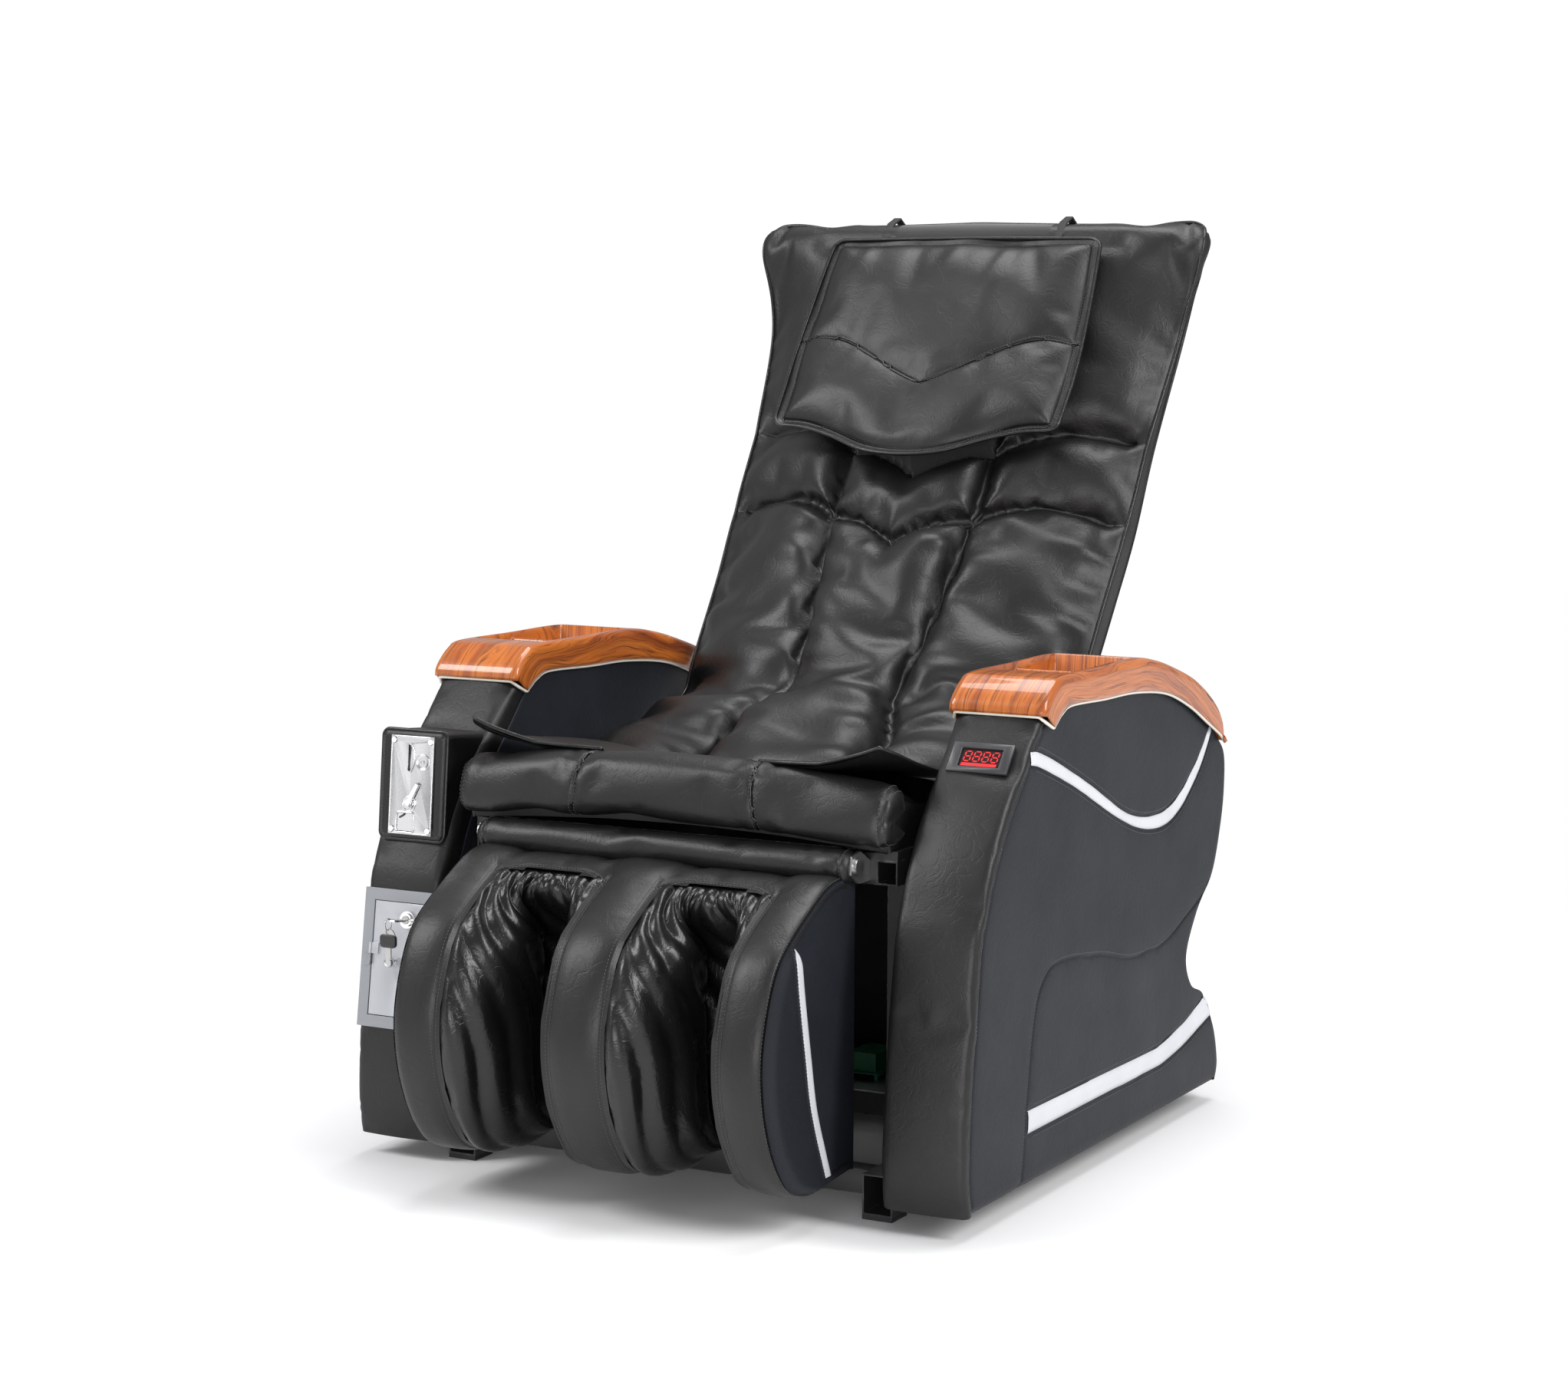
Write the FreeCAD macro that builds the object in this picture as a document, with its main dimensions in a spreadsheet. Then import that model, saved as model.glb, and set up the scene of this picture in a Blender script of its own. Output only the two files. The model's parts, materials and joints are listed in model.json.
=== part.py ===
"""Coin-operated massage chair: a reclining back with a massage carriage, a swinging calf rest,
two padded arms with wood-grain caps, a coin box, a cash door and a timer display.

Frame: millimetres, X to the occupant's left, Y towards the back, Z up. The origin is on the floor under
the middle of the chair's outline. Every sub-part is one object of the document, and its Label names its file.
"""

import FreeCAD, Part
import math
import os

from FreeCAD import Placement, Rotation, Vector

doc = FreeCAD.newDocument("massage_chair")
sheet = doc.addObject("Spreadsheet::Sheet", "dims")

# ---------------------------------------------------------------- driving dimensions
DIMENSIONS = {
    # base frame, seat frame and seat
    "rail_inner": 278, "rail_outer": 318, "rail_front": -389, "rail_back": 372,
    "rail_low": 6, "rail_high": 56, "cross_tube": 30, "cross_low": 16, "tube_wall": 2, "foot_size": 40,
    "seat_tube_low": 400, "seat_tube_high": 430, "seat_tube_outer": 300, "seat_tube_wide": 28,
    "post_wide": 22, "seat_front": -345, "seat_back": 38, "seat_tube_long": 405,
    "seat_half": 300, "pan_thick": 12, "sheet_metal": 2,
    # arms and their caps
    "arm_inner": 318, "arm_outer": 434, "arm_board": 12, "arm_strip": 12, "arm_bolt": 4, "arm_bolt_z": 40,
    "cap_inner": 311, "cap_outer": 442.5, "cap_wall": 3, "tray_margin": 13,
    "tray_front": -150, "tray_back": 62, "tray_floor": 618,
    # back: its pivot, its slope from vertical at rest and how far it reclines
    "pivot_y": 90, "pivot_z": 455, "back_slope": 31, "recline_range": 30, "pin_radius": 8, "pin_gap": 0.05,
    "back_tube": 25, "back_tube_outer": 236, "back_tube_level": 60, "hinge_plate": 6, "torque_tube": 15,
    "lever": 110, "lever_pin": 6, "lever_gap": 3, "rod_line": 347, "rod_radius": 10,
    # massage drive, along the back
    "drive_low": 140, "drive_high": 700, "screw_radius": 6, "screw_level": 105, "carriage_at": 375,
    "carriage_half": 168, "yoke_level": 60, "roller_level": 41, "roller_radius": 19, "roller_wide": 24,
    "roller_offset": 55, "axle_radius": 5,
    # calf rest
    "calf_half": 256, "lobe_half": 42, "lobe_in": 190, "calf_back": -368, "calf_board": 12,
    "calf_pivot_y": -383, "calf_pivot_z": 428, "calf_pin": 7, "hinge_tube": 10, "hinge_roll": 20,
    "hinge_half": 250, "airbag": 18,
    # coin box on the right arm: its own frame stands in the middle of the housing's front face
    "coin_x": -376, "coin_y": -381, "coin_z": 478, "coin_lean": 5, "coin_wide": 98, "coin_high": 140,
    "coin_deep": 150, "face_wide": 66, "face_high": 127, "face_screw_x": 28, "face_screw_z": 57,
    "coin_room": 48, "lever_x": -2, "lever_z": -24,
    # cash door in the right arm: its own frame stands in the middle of the arm's front face there
    "cash_x": -376, "cash_y": -414, "cash_z": 257, "cash_lean": 8, "cash_wide": 108, "cash_high": 178,
    "door_wide": 76, "door_high": 146, "door_thick": 3, "lock_x": 14, "lock_z": 52,
    "knob_x": -4, "knob_z": -4,
    "plug_radius": 5.5, "ring_radius": 7, "ring_wire": 0.8,
    # timer display in the left arm
    "display_x": 376, "display_y": -275.1, "display_z": 550.8, "display_lean": 40,
    "display_wide": 80, "display_high": 42,
}

for row, (alias, value) in enumerate(DIMENSIONS.items(), start=1):
    sheet.set(f"A{row}", alias)
    sheet.set(f"B{row}", str(value))
    sheet.setAlias(f"B{row}", alias)
doc.recompute()


def dim(alias):
    """A driving dimension's value, read from the sheet."""
    return float(sheet.get(alias))


# ---------------------------------------------------------------- small builders
# leaning units: the aliases of where each one's own frame stands, and of how far it leans back
UNITS = {
    "back": (None, "pivot_y", "pivot_z", "back_slope"),
    "coin": ("coin_x", "coin_y", "coin_z", "coin_lean"),
    "cash": ("cash_x", "cash_y", "cash_z", "cash_lean"),
    "display": ("display_x", "display_y", "display_z", "display_lean"),
}
SIDES = {"left": 1, "right": -1}
finished = []       # the sub-parts, in the order that they are written


def keep(obj, label):
    """Marks an object as a finished sub-part: its Label names its file."""
    obj.Label = label
    finished.append(obj)
    return obj


def place(obj, x, y, z):
    """Binds an object's position. Each argument is a number or an expression."""
    for axis, value in zip("xyz", (x, y, z)):
        obj.setExpression(f"Placement.Base.{axis}", str(value))
    return obj


def box(x, y, z, long, wide, high):
    """A box with its low corner at x, y, z."""
    obj = doc.addObject("Part::Box", "Box")
    for name, value in (("Length", long), ("Width", wide), ("Height", high)):
        obj.setExpression(name, str(value))
    return place(obj, x, y, z)


def cylinder(radius, height, x, y, z, along="z"):
    """A cylinder that starts at x, y, z and runs along an axis."""
    turns = {"x": Rotation(Vector(0, 1, 0), 90), "y": Rotation(Vector(1, 0, 0), -90), "z": Rotation()}
    obj = doc.addObject("Part::Cylinder", "Cylinder")
    obj.Placement = Placement(Vector(), turns[along])
    obj.setExpression("Radius", str(radius))
    obj.setExpression("Height", str(height))
    return place(obj, x, y, z)


def cut(base, *tools):
    """base less each tool."""
    for tool in tools:
        result = doc.addObject("Part::Cut", "Cut")
        result.Base, result.Tool = base, tool
        base = result
    return base


def join(*solids):
    """Solids fused into one."""
    obj = doc.addObject("Part::MultiFuse", "Join")
    obj.Shapes = list(solids)
    return obj


def group(*solids):
    """Separate solids in one sub-part."""
    obj = doc.addObject("Part::Compound", "Group")
    obj.Links = list(solids)
    return obj


def spline(points):
    """A smooth curve through points of a sketch."""
    curve = Part.BSplineCurve()
    curve.interpolate([Vector(a, b, 0) for a, b in points])
    return curve


def line(a, b):
    return Part.LineSegment(Vector(*a, 0), Vector(*b, 0))


def polygon(points):
    return [line(a, b) for a, b in zip(points, points[1:] + points[:1])]


def profile(edges, low, high, plane="YZ_Plane"):
    """A body padded from a closed outline.

    On YZ_Plane the outline is y, z and the pad runs from x = low to x = high. On XZ_Plane the outline is x, z
    and the pad runs forwards, from y = -low to y = -high. On XY_Plane it runs upwards.
    """
    body = doc.addObject("PartDesign::Body", "Body")
    sketch = body.newObject("Sketcher::SketchObject", "Outline")
    origin = [feature for feature in body.Origin.OriginFeatures if feature.Role == plane]
    sketch.AttachmentSupport = [(origin[0], "")]
    sketch.MapMode = "FlatFace"
    sketch.setExpression("AttachmentOffset.Base.z", str(low))
    sketch.addGeometry([edge.copy() for edge in edges], False)
    pad = body.newObject("PartDesign::Pad", "Pad")
    pad.Profile = sketch
    pad.setExpression("Length", f"({high}) - ({low})")
    return body


def span(side, near, far):
    """The low and high x between two distances from the middle, on one side."""
    return (near, far) if side > 0 else (f"-({far})", f"-({near})")


def lean(obj, unit):
    """Moves an object out of a leaning unit's own frame: x across, y into the chair, z up the slope."""
    doc.recompute()
    *base, slope = (dim(alias) if alias else 0 for alias in UNITS[unit])
    local = obj.Placement
    for axis in "xyz":
        obj.setExpression(f"Placement.Base.{axis}", None)
    obj.Placement = Placement(Vector(*base), Rotation(Vector(1, 0, 0), -slope)).multiply(local)
    return obj


def tube(x, y, z, long, wide, high, along):
    """A rectangular tube: a box, less a smaller box that runs right through it along one axis."""
    low, size = [x, y, z], [long, wide, high]
    for k, axis in enumerate("xyz"):
        if axis == along:
            low[k], size[k] = f"({low[k]}) - 1", f"({size[k]}) + 2"
        else:
            low[k], size[k] = f"({low[k]}) + dims.tube_wall", f"({size[k]}) - 2 * dims.tube_wall"
    return cut(box(x, y, z, long, wide, high), box(*low, *size))


# ---------------------------------------------------------------- base and seat frame
ARM_BOLTS_Y = (-300, 225)       # two bolts hold each arm on its side rail


def arm_bolt_holes(side, radius):
    """Clearance for the arm bolts, through a rail and an arm's inner board."""
    low = 280 if side > 0 else -340
    return [cylinder(radius, 60, low, y, "dims.arm_bolt_z", "x") for y in ARM_BOLTS_Y]


base_tubes = []
feet = []
seat_tubes = []
for side in (-1, 1):
    low, high = span(side, "dims.rail_inner", "dims.rail_outer")
    rail = tube(low, "dims.rail_front", "dims.rail_low", f"({high}) - ({low})",
                "dims.rail_back - dims.rail_front", "dims.rail_high - dims.rail_low", "y")
    base_tubes.append(cut(rail, *arm_bolt_holes(side, "dims.arm_bolt + 0.1")))
    for y in ("dims.rail_front", "dims.rail_back - dims.foot_size"):
        feet.append(box(low, y, 0, "dims.foot_size", "dims.foot_size", "dims.rail_low"))
    low, high = span(side, "dims.rail_inner + 2", "dims.rail_inner + 2 + dims.post_wide")
    for y in (-330, -10):
        seat_tubes.append(tube(low, y, "dims.rail_high", "dims.post_wide", 28,
                               "dims.seat_tube_low - dims.rail_high", "z"))
    low, high = span(side, "dims.seat_tube_outer - dims.seat_tube_wide", "dims.seat_tube_outer")
    seat_tubes.append(tube(low, "dims.seat_front", "dims.seat_tube_low", "dims.seat_tube_wide", "dims.seat_tube_long",
                           "dims.seat_tube_high - dims.seat_tube_low", "y"))
for y in (-340, 20, 240):
    base_tubes.append(tube("-dims.rail_inner", y, "dims.cross_low", "2 * dims.rail_inner", "dims.cross_tube",
                           "dims.cross_tube", "x"))
for y in ("dims.seat_front", 30):
    seat_tubes.append(tube("-dims.seat_tube_outer + dims.seat_tube_wide", y, "dims.seat_tube_low",
                           "2 * (dims.seat_tube_outer - dims.seat_tube_wide)", "dims.cross_tube",
                           "dims.seat_tube_high - dims.seat_tube_low", "x"))
keep(group(*base_tubes), "base_frame_tubes")
keep(group(*feet), "rubber_feet")
keep(group(*seat_tubes), "seat_frame_tubes")
keep(box("-dims.seat_half", "dims.seat_front", "dims.seat_tube_high", "2 * dims.seat_half",
         "dims.seat_back - dims.seat_front", "dims.pan_thick"), "seat_pan")

# seat foam: level in front, dished, and rising towards the back
PAN_TOP = dim("seat_tube_high") + dim("pan_thick")
SEAT_TOP = [(-345, 512), (-270, 500), (-160, 500), (-68, 519), (-26, 540), (20, 562)]
keep(profile([spline(SEAT_TOP), line((20, 562), (40, 556)), line((40, 556), (36, PAN_TOP)),
              line((36, PAN_TOP), (-345, PAN_TOP)), line((-345, PAN_TOP), (-345, 512))],
             "-dims.seat_half", "dims.seat_half"), "seat_pad")

# front cushion of the seat, a rolled edge in front of the foam and the pan
FRONT_ROLL = [(-346, 536), (-364, 538), (-382, 522), (-391, 500), (-391, 480), (-381, 462)]
keep(profile([spline(FRONT_ROLL), line((-381, 462), (-346, 456)), line((-346, 456), (-346, 536))],
             "-dims.seat_half - 4", "dims.seat_half + 4"), "seat_front_roll")

# two thin flaps of the seat cover, which rise over the front corners of the seat
FLAP = [(125, 540), (290, 560), (290, 570), (125, 550)]
flaps = [profile(polygon([(side * x, z) for x, z in FLAP]), 60, 362, plane="XZ_Plane") for side in (-1, 1)]
keep(group(*flaps), "seat_flaps")

# ---------------------------------------------------------------- hinge brackets, pins and the recline drive
BACK_EAR = [(40, 430), (120, 430), (112, 470), (90, 480), (68, 470)]
CALF_EAR = [(-345.3, 405), (-345.3, 429), (-372, 444), (-394, 440), (-396, 418), (-375, 405)]
DRIVE_EAR = [(-338, 400), (-246, 330), (-240, 364), (-315, 400)]
brackets = []
pins = []
for side in (-1, 1):
    low, high = span(side, 244, 250)
    hole = cylinder("dims.pin_radius", 20, f"({low}) - 5", "dims.pivot_y", "dims.pivot_z", "x")
    brackets.append(cut(profile(polygon(BACK_EAR), low, high), hole))
    low, high = span(side, 260, 264)
    hole = cylinder("dims.calf_pin", 20, f"({low}) - 5", "dims.calf_pivot_y", "dims.calf_pivot_z", "x")
    brackets.append(cut(profile(polygon(CALF_EAR), low, high), hole))
    low, high = span(side, 13.5, 19.5)
    brackets.append(profile(polygon(DRIVE_EAR), low, high))
    for radius, head, near, far, axis in (("dims.pin_radius", 13, 232, 250, "pivot"),
                                          ("dims.calf_pin", 10, 242, 264, "calf_pivot")):
        y, z = f"dims.{axis}_y", f"dims.{axis}_z"
        low, high = span(side, near, far + 1)
        shank = cylinder(radius, far + 1 - near, low, y, z, "x")
        low, high = span(side, far, far + 5)
        pins.append(join(shank, cylinder(head, 5, low, y, z, "x")))
keep(group(*brackets), "frame_brackets")
keep(group(*pins), "pivot_pins")

# linear actuator under the seat: a gearmotor and a tube, with a rod that draws the back's lever forwards
barrel = cut(cylinder(18, 240, 0, -235, "dims.rod_line", "y"),
             cylinder("dims.rod_radius + 0.3", 230, 0, -220, "dims.rod_line", "y"))
gearmotor = box(-13.5, -260, "dims.rod_line - 75", 27, 70, 57)
tail = box(-13.5, -262, "dims.rod_line - 18", 27, 30, 36)
keep(join(barrel, gearmotor, tail), "recline_actuator")

# the lever hangs as far behind its pivot at rest as it stands in front of it when the back is down
half_range = math.radians(dim("recline_range") / 2)
lever_end_y = dim("pivot_y") + dim("lever") * math.sin(half_range)
lever_end_z = dim("pivot_z") - dim("lever") * math.cos(half_range)
rod = cylinder("dims.rod_radius", 264, 0, -160, "dims.rod_line", "y")
eye = cylinder(16, 12, -6, lever_end_y, "dims.rod_line", "x")
eye_hole = cylinder("dims.lever_pin + dims.lever_gap", 30, -15, lever_end_y, "dims.rod_line", "x")
keep(cut(join(rod, eye), eye_hole), "recline_actuator_rod")

# ---------------------------------------------------------------- arms
FRONT_LOW = [(-423, 27), (-430, 80), (-426, 168)]
FRONT_HIGH = [(-401, 346), (-385, 390), (-359, 444), (-318, 502), (-279, 544), (-224, 604)]
ARM_TOP = [(-224, 604), (-150, 612), (-49, 612), (52, 610), (157, 598), (241, 573), (313, 541), (366, 508)]
ARM_BACK = [(366, 508), (396, 482), (401, 441), (392, 389), (361, 319), (306, 275), (270, 222), (290, 179),
            (338, 158), (378, 107), (395, 55), (386, 27)]
ARM_OUTLINE = [spline(FRONT_LOW), line(FRONT_LOW[-1], FRONT_HIGH[0]), spline(FRONT_HIGH), spline(ARM_TOP),
               spline(ARM_BACK), line(ARM_BACK[-1], FRONT_LOW[0])]


def strip_outline(runs, shift):
    """A strip along one or more curves, as thick as shift along y."""
    moved = [[(y + shift, z) for y, z in points] for points in runs]
    edges = [line(runs[0][0], moved[0][0]), line(runs[-1][-1], moved[-1][-1])]
    for side in (runs, moved):
        edges += [spline(points) for points in side]
        edges += [line(a[-1], b[0]) for a, b in zip(side, side[1:])]
    return edges


coin_room = lean(box("-dims.coin_room / 2", -8, -61, "dims.coin_room", 160, 115), "coin")
rear_strips = []
for word, side in SIDES.items():
    low, high = span(side, "dims.arm_outer - dims.arm_board", "dims.arm_outer")
    keep(profile(ARM_OUTLINE, low, high), f"{word}_arm_outer_panel")
    low, high = span(side, "dims.arm_inner", "dims.arm_inner + dims.arm_board")
    inner = profile(ARM_OUTLINE, low, high)
    keep(cut(inner, *arm_bolt_holes(side, "dims.arm_bolt + 0.1")), f"{word}_arm_inner_panel")
    low, high = span(side, "dims.arm_inner + dims.arm_board", "dims.arm_outer - dims.arm_board")
    front = profile(strip_outline([FRONT_LOW, FRONT_HIGH], dim("arm_strip")), low, high)
    rear_strips.append(profile(strip_outline([ARM_BACK], -dim("arm_strip")), low, high))
    if side > 0:
        openings = [lean(box(-37, -30, -18, 74, 60, 36), "display")]
    else:
        door_hole = box("-dims.door_wide / 2 - 5", -10, "-dims.door_high / 2 - 5", "dims.door_wide + 10", 40,
                        "dims.door_high + 10")
        openings = [lean(door_hole, "cash"), coin_room]
    keep(cut(front, *openings), f"{word}_arm_front_panel")
keep(group(*rear_strips), "arm_rear_panels")

# arm caps: thin shells, open below, with a tray let into the top
CAP_LOW = [(-206, 586), (-181, 600), (-150, 607), (-49, 604), (52, 602), (157, 590), (241, 565), (313, 534),
           (363, 513), (378, 503)]
CAP_HIGH = [(-236, 602), (-224, 622), (-204, 637), (-178, 645), (-60, 645), (60, 645), (130, 636), (200, 619),
            (267, 598), (330, 567), (368, 535), (378, 503)]
CAP_ROOM = [(-229, 598), (-219, 617), (-201, 632), (-177, 641), (-60, 641), (60, 641), (129, 632), (198, 615),
            (263, 594), (325, 563), (361, 532), (374.5, 480)]
SOCKETS_X = (388, 411)


def arm_cap(side):
    low, high = span(side, "dims.cap_inner", "dims.cap_outer")
    outer = profile([spline(CAP_HIGH), spline(CAP_LOW), line(CAP_LOW[0], CAP_HIGH[0])], low, high)
    low, high = span(side, "dims.cap_inner + dims.cap_wall", "dims.cap_outer - dims.cap_wall")
    corner = (-200, 480)
    room = profile([spline(CAP_ROOM), line(CAP_ROOM[-1], corner), line(corner, CAP_ROOM[0])], low, high)
    low, high = span(side, "dims.cap_inner + dims.tray_margin", "dims.cap_outer - dims.tray_margin")
    length, width = "dims.tray_back - dims.tray_front", f"({high}) - ({low})"
    tray = box(low, "dims.tray_front", "dims.tray_floor", width, length, 60)
    bucket = box(f"({low}) - dims.cap_wall", "dims.tray_front - dims.cap_wall",
                 "dims.tray_floor - dims.cap_wall", f"({width}) + 2 * dims.cap_wall",
                 f"({length}) + 2 * dims.cap_wall", 28)
    return cut(outer, cut(room, bucket), tray)


left_cap = arm_cap(1)
for x in SOCKETS_X:
    left_cap = cut(left_cap, box(x - 8, "dims.tray_back - 2", 623, 16, 10, 9))
keep(left_cap, "left_arm_cap")
keep(arm_cap(-1), "right_arm_cap")

# two charging sockets in the back wall of the left cap's tray
sockets = []
for x in SOCKETS_X:
    case = box(x - 7.8, "dims.tray_back - 1", 623.2, 15.6, 22, 8.6)
    sockets.append(cut(case, box(x - 6, "dims.tray_back - 2", 625, 12, 14, 5)))
keep(group(*sockets), "usb_ports")

# ---------------------------------------------------------------- timer display in the left arm
bezel = box("-dims.display_wide / 2", -4, "-dims.display_high / 2", "dims.display_wide", 4,
            "dims.display_high")
case = box(-36, 0, -17, 72, 24, 34)
view = box(-27, -6, -13, 54, 12, 26)
keep(lean(cut(join(bezel, case), view, box(-34, 6, -15, 68, 30, 30)), "display"), "display_bezel")
keep(lean(box(-27, -1, -13, 54, 3, 26), "display"), "display_window")
timer_board = lean(box(-33, 8, -14, 66, 10, 28), "display")

# ---------------------------------------------------------------- coin box on the right arm
housing = box("-dims.coin_wide / 2", 0, "-dims.coin_high / 2", "dims.coin_wide", "dims.coin_deep",
              "dims.coin_high")
arm_core = profile(ARM_OUTLINE, -500, -250)
plate = box("-dims.face_wide / 2", "-dims.sheet_metal", "-dims.face_high / 2", "dims.face_wide",
            "dims.sheet_metal", "dims.face_high")
coin_slot = box(-6, -10, 18, 3.5, 20, 34)
cup_mouth = box(-20, -10, -60, 25, 20, 24)
lever_hole = cylinder(3.05, 20, "dims.lever_x", -10, "dims.lever_z", "y")
screws = []
plate_holes = []
pilot_holes = []
for across in (-1, 1):
    for up in (-1, 1):
        at = (f"{across} * dims.face_screw_x", -2, f"{up} * dims.face_screw_z", "y")
        head = cylinder(3.6, 1.6, at[0], -3.6, at[2], "y")
        screws.append(lean(join(cylinder(2, 11, *at), head), "coin"))
        plate_holes.append(cylinder(2, 11, *at))
        pilot_holes.append(lean(cylinder(2, 11, *at), "coin"))
keep(cut(lean(housing, "coin"), arm_core, coin_room, *pilot_holes), "coin_box_housing")
keep(lean(cut(plate, coin_slot, cup_mouth, lever_hole, *plate_holes), "coin"), "coin_faceplate")

# the arms' bolts, headed inside the arms, and the faceplate's screws
for side in (-1, 1):
    low, high = span(side, "dims.rail_outer - 8", "dims.arm_inner + dims.arm_board + 1")
    head_low, head_high = span(side, "dims.arm_inner + dims.arm_board", "dims.arm_inner + dims.arm_board + 6")
    for y in ARM_BOLTS_Y:
        shank = cylinder("dims.arm_bolt", f"({high}) - ({low})", low, y, "dims.arm_bolt_z", "x")
        screws.append(join(shank, cylinder(8, 6, head_low, y, "dims.arm_bolt_z", "x")))
keep(group(*screws), "screws_and_bolts")

# coin validator behind the plate, with the chute that drops accepted coins to the cash tray
validator = cut(box(-22, 8, -38, 44, 54, 88), box(-6, 7, -34, 3.5, 56, 90))
chute = cut(box(-14, 0, 0, 24, 30, 140), box(-12, 2, -1, 20, 26, 142))
keep(group(lean(validator, "coin"), place(chute, "dims.coin_x", -350, 296)), "coin_mechanism")

# coin return lever: a boss, a shaft through the plate and a slanting arm
boss = cylinder(6, 5, "dims.lever_x", -7.3, "dims.lever_z", "y")
shaft = cylinder(3, 9, "dims.lever_x", -4, "dims.lever_z", "y")
arm = doc.addObject("Part::Box", "Arm")
arm.Length, arm.Width, arm.Height = 6, 4, 30
slant = Rotation(Vector(0, 1, 0), 28)
arm_corner = Vector(dim("lever_x"), -7.3, dim("lever_z")) + slant.multVec(Vector(-3, 0, 0))
arm.Placement = Placement(arm_corner, slant)
keep(lean(join(boss, shaft, arm), "coin"), "coin_return_lever")

# flap that closes the return cup, hung from its top edge
keep(lean(box(-19.5, -1.6, -59, 24, 1.2, 22.5), "coin"), "coin_return_flap")

# ---------------------------------------------------------------- cash door in the right arm
HINGE_X, HINGE_Y = -39.5, -8.2      # hinge line of the cash door, in the unit's own frame
border = box("-dims.cash_wide / 2", -6, "-dims.cash_high / 2", "dims.cash_wide", 6, "dims.cash_high")
sleeve = box("-dims.door_wide / 2 - 4", -1, "-dims.door_high / 2 - 4", "dims.door_wide + 8", 13,
             "dims.door_high + 8")
doorway = box("-dims.door_wide / 2 - 1", -10, "-dims.door_high / 2 - 1", "dims.door_wide + 2", 60,
              "dims.door_high + 2")
shelf = box(-36, 6, "-dims.door_high / 2 - 4", 72, 100, 3)
leaf = box(HINGE_X - 10, HINGE_Y, -10, 10, 2.2, 14)
knuckle = cylinder(2, 14, HINGE_X, HINGE_Y, -10)
keep(lean(join(cut(join(border, sleeve), doorway), shelf, leaf, knuckle), "cash"), "cash_door_frame")

door = box("-dims.door_wide / 2", -5, "-dims.door_high / 2", "dims.door_wide", "dims.door_thick",
           "dims.door_high")
lock_hole = cylinder(8, 20, "dims.lock_x", -12, "dims.lock_z", "y")
knob_hole = cylinder(2.5, 20, "dims.knob_x", -12, "dims.knob_z", "y")
door_leaf = box(HINGE_X + 1, HINGE_Y, 5, 11, 3.2, 14)
keep(lean(join(cut(door, lock_hole, knob_hole), door_leaf, cylinder(2, 14, HINGE_X, HINGE_Y, 5)), "cash"),
     "cash_door")

barrel = cylinder(8, 18, "dims.lock_x", -5, "dims.lock_z", "y")
flange = cylinder(11, 4, "dims.lock_x", -9, "dims.lock_z", "y")
nose = cylinder(8.5, 4, "dims.lock_x", -12, "dims.lock_z", "y")
plug_hole = cylinder("dims.plug_radius + 0.05", 40, "dims.lock_x", -16, "dims.lock_z", "y")
keep(lean(cut(join(flange, barrel, nose), plug_hole), "cash"), "lock_barrel")

ball = doc.addObject("Part::Sphere", "Ball")
ball.Radius = 7
place(ball, "dims.knob_x", -15, "dims.knob_z")
stem = cylinder(2.5, 14, "dims.knob_x", -14, "dims.knob_z", "y")
collar = cylinder(4.5, 3, "dims.knob_x", -8, "dims.knob_z", "y")
keep(lean(join(ball, stem, collar), "cash"), "door_pull_knob")

KEY_HALF, BOW, BLADE, BOW_HOLE, BOW_RIM = 10.5, 24, 26, 3.5, 1


def key_outline(top, blade):
    """A key that hangs down from top: a bow with clipped corners and a notched blade."""
    bow = [(-KEY_HALF, top - BOW), (-KEY_HALF, top - 8), (-KEY_HALF + 3, top - 3), (-KEY_HALF + 8, top)]
    tip = top - BOW - blade
    notched = [(4, top - BOW), (4, tip + 0.45 * blade), (2, tip + 0.38 * blade), (4, tip + 0.3 * blade),
               (4, tip + 0.15 * blade), (0, tip), (-4, tip + 0.15 * blade), (-4, top - BOW)]
    return polygon(bow + [(-x, z) for x, z in reversed(bow)] + notched)


# the plug, with its cam behind the door and the key in it: the key's bow lies flat
bow_top = 50
plug = cylinder("dims.plug_radius", 30, 0, -13, 0, "y")
cam = box(-28, 14, -5.5, 33, 2.5, 11)
bow = profile([edge.copy() for edge in key_outline(bow_top, 14)], -1.2, 1.2, plane="XY_Plane")
bow.Placement = Placement(Vector(), Rotation(Vector(1, 0, 0), 180))
bow_hole = cylinder(BOW_HOLE, 10, 0, -(bow_top - BOW_RIM - BOW_HOLE), -5)
key = join(cut(bow, bow_hole), plug, cam)
doc.recompute()
key.Placement = Placement(Vector(dim("lock_x"), 0, dim("lock_z")), Rotation())
keep(lean(key, "cash"), "lock_key")

# the ring through the key's bow, and the spare key that hangs straight down from it
ring_drop = 4.6
ring_local = Vector(dim("lock_x"), -(bow_top - BOW_RIM / 2), dim("lock_z") - ring_drop)
ring_centre = (Placement(Vector(dim("cash_x"), dim("cash_y"), dim("cash_z")),
                         Rotation(Vector(1, 0, 0), -dim("cash_lean")))).multVec(ring_local)
ring = doc.addObject("Part::Torus", "Ring")
ring.setExpression("Radius1", "dims.ring_radius")
ring.setExpression("Radius2", "dims.ring_wire")
ring.Placement = Placement(Vector(), Rotation(Vector(0, 1, 0), 90))
spare_top = -dim("ring_radius") + dim("ring_wire") + 0.3 + BOW_RIM
spare = profile(key_outline(spare_top, BLADE), -1, 1, plane="XZ_Plane")
spare_key = group(ring, cut(spare, cylinder(BOW_HOLE, 20, 0, -10, spare_top - BOW_RIM - BOW_HOLE, "y")))
spare_key.Placement = Placement(ring_centre, Rotation())
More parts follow.
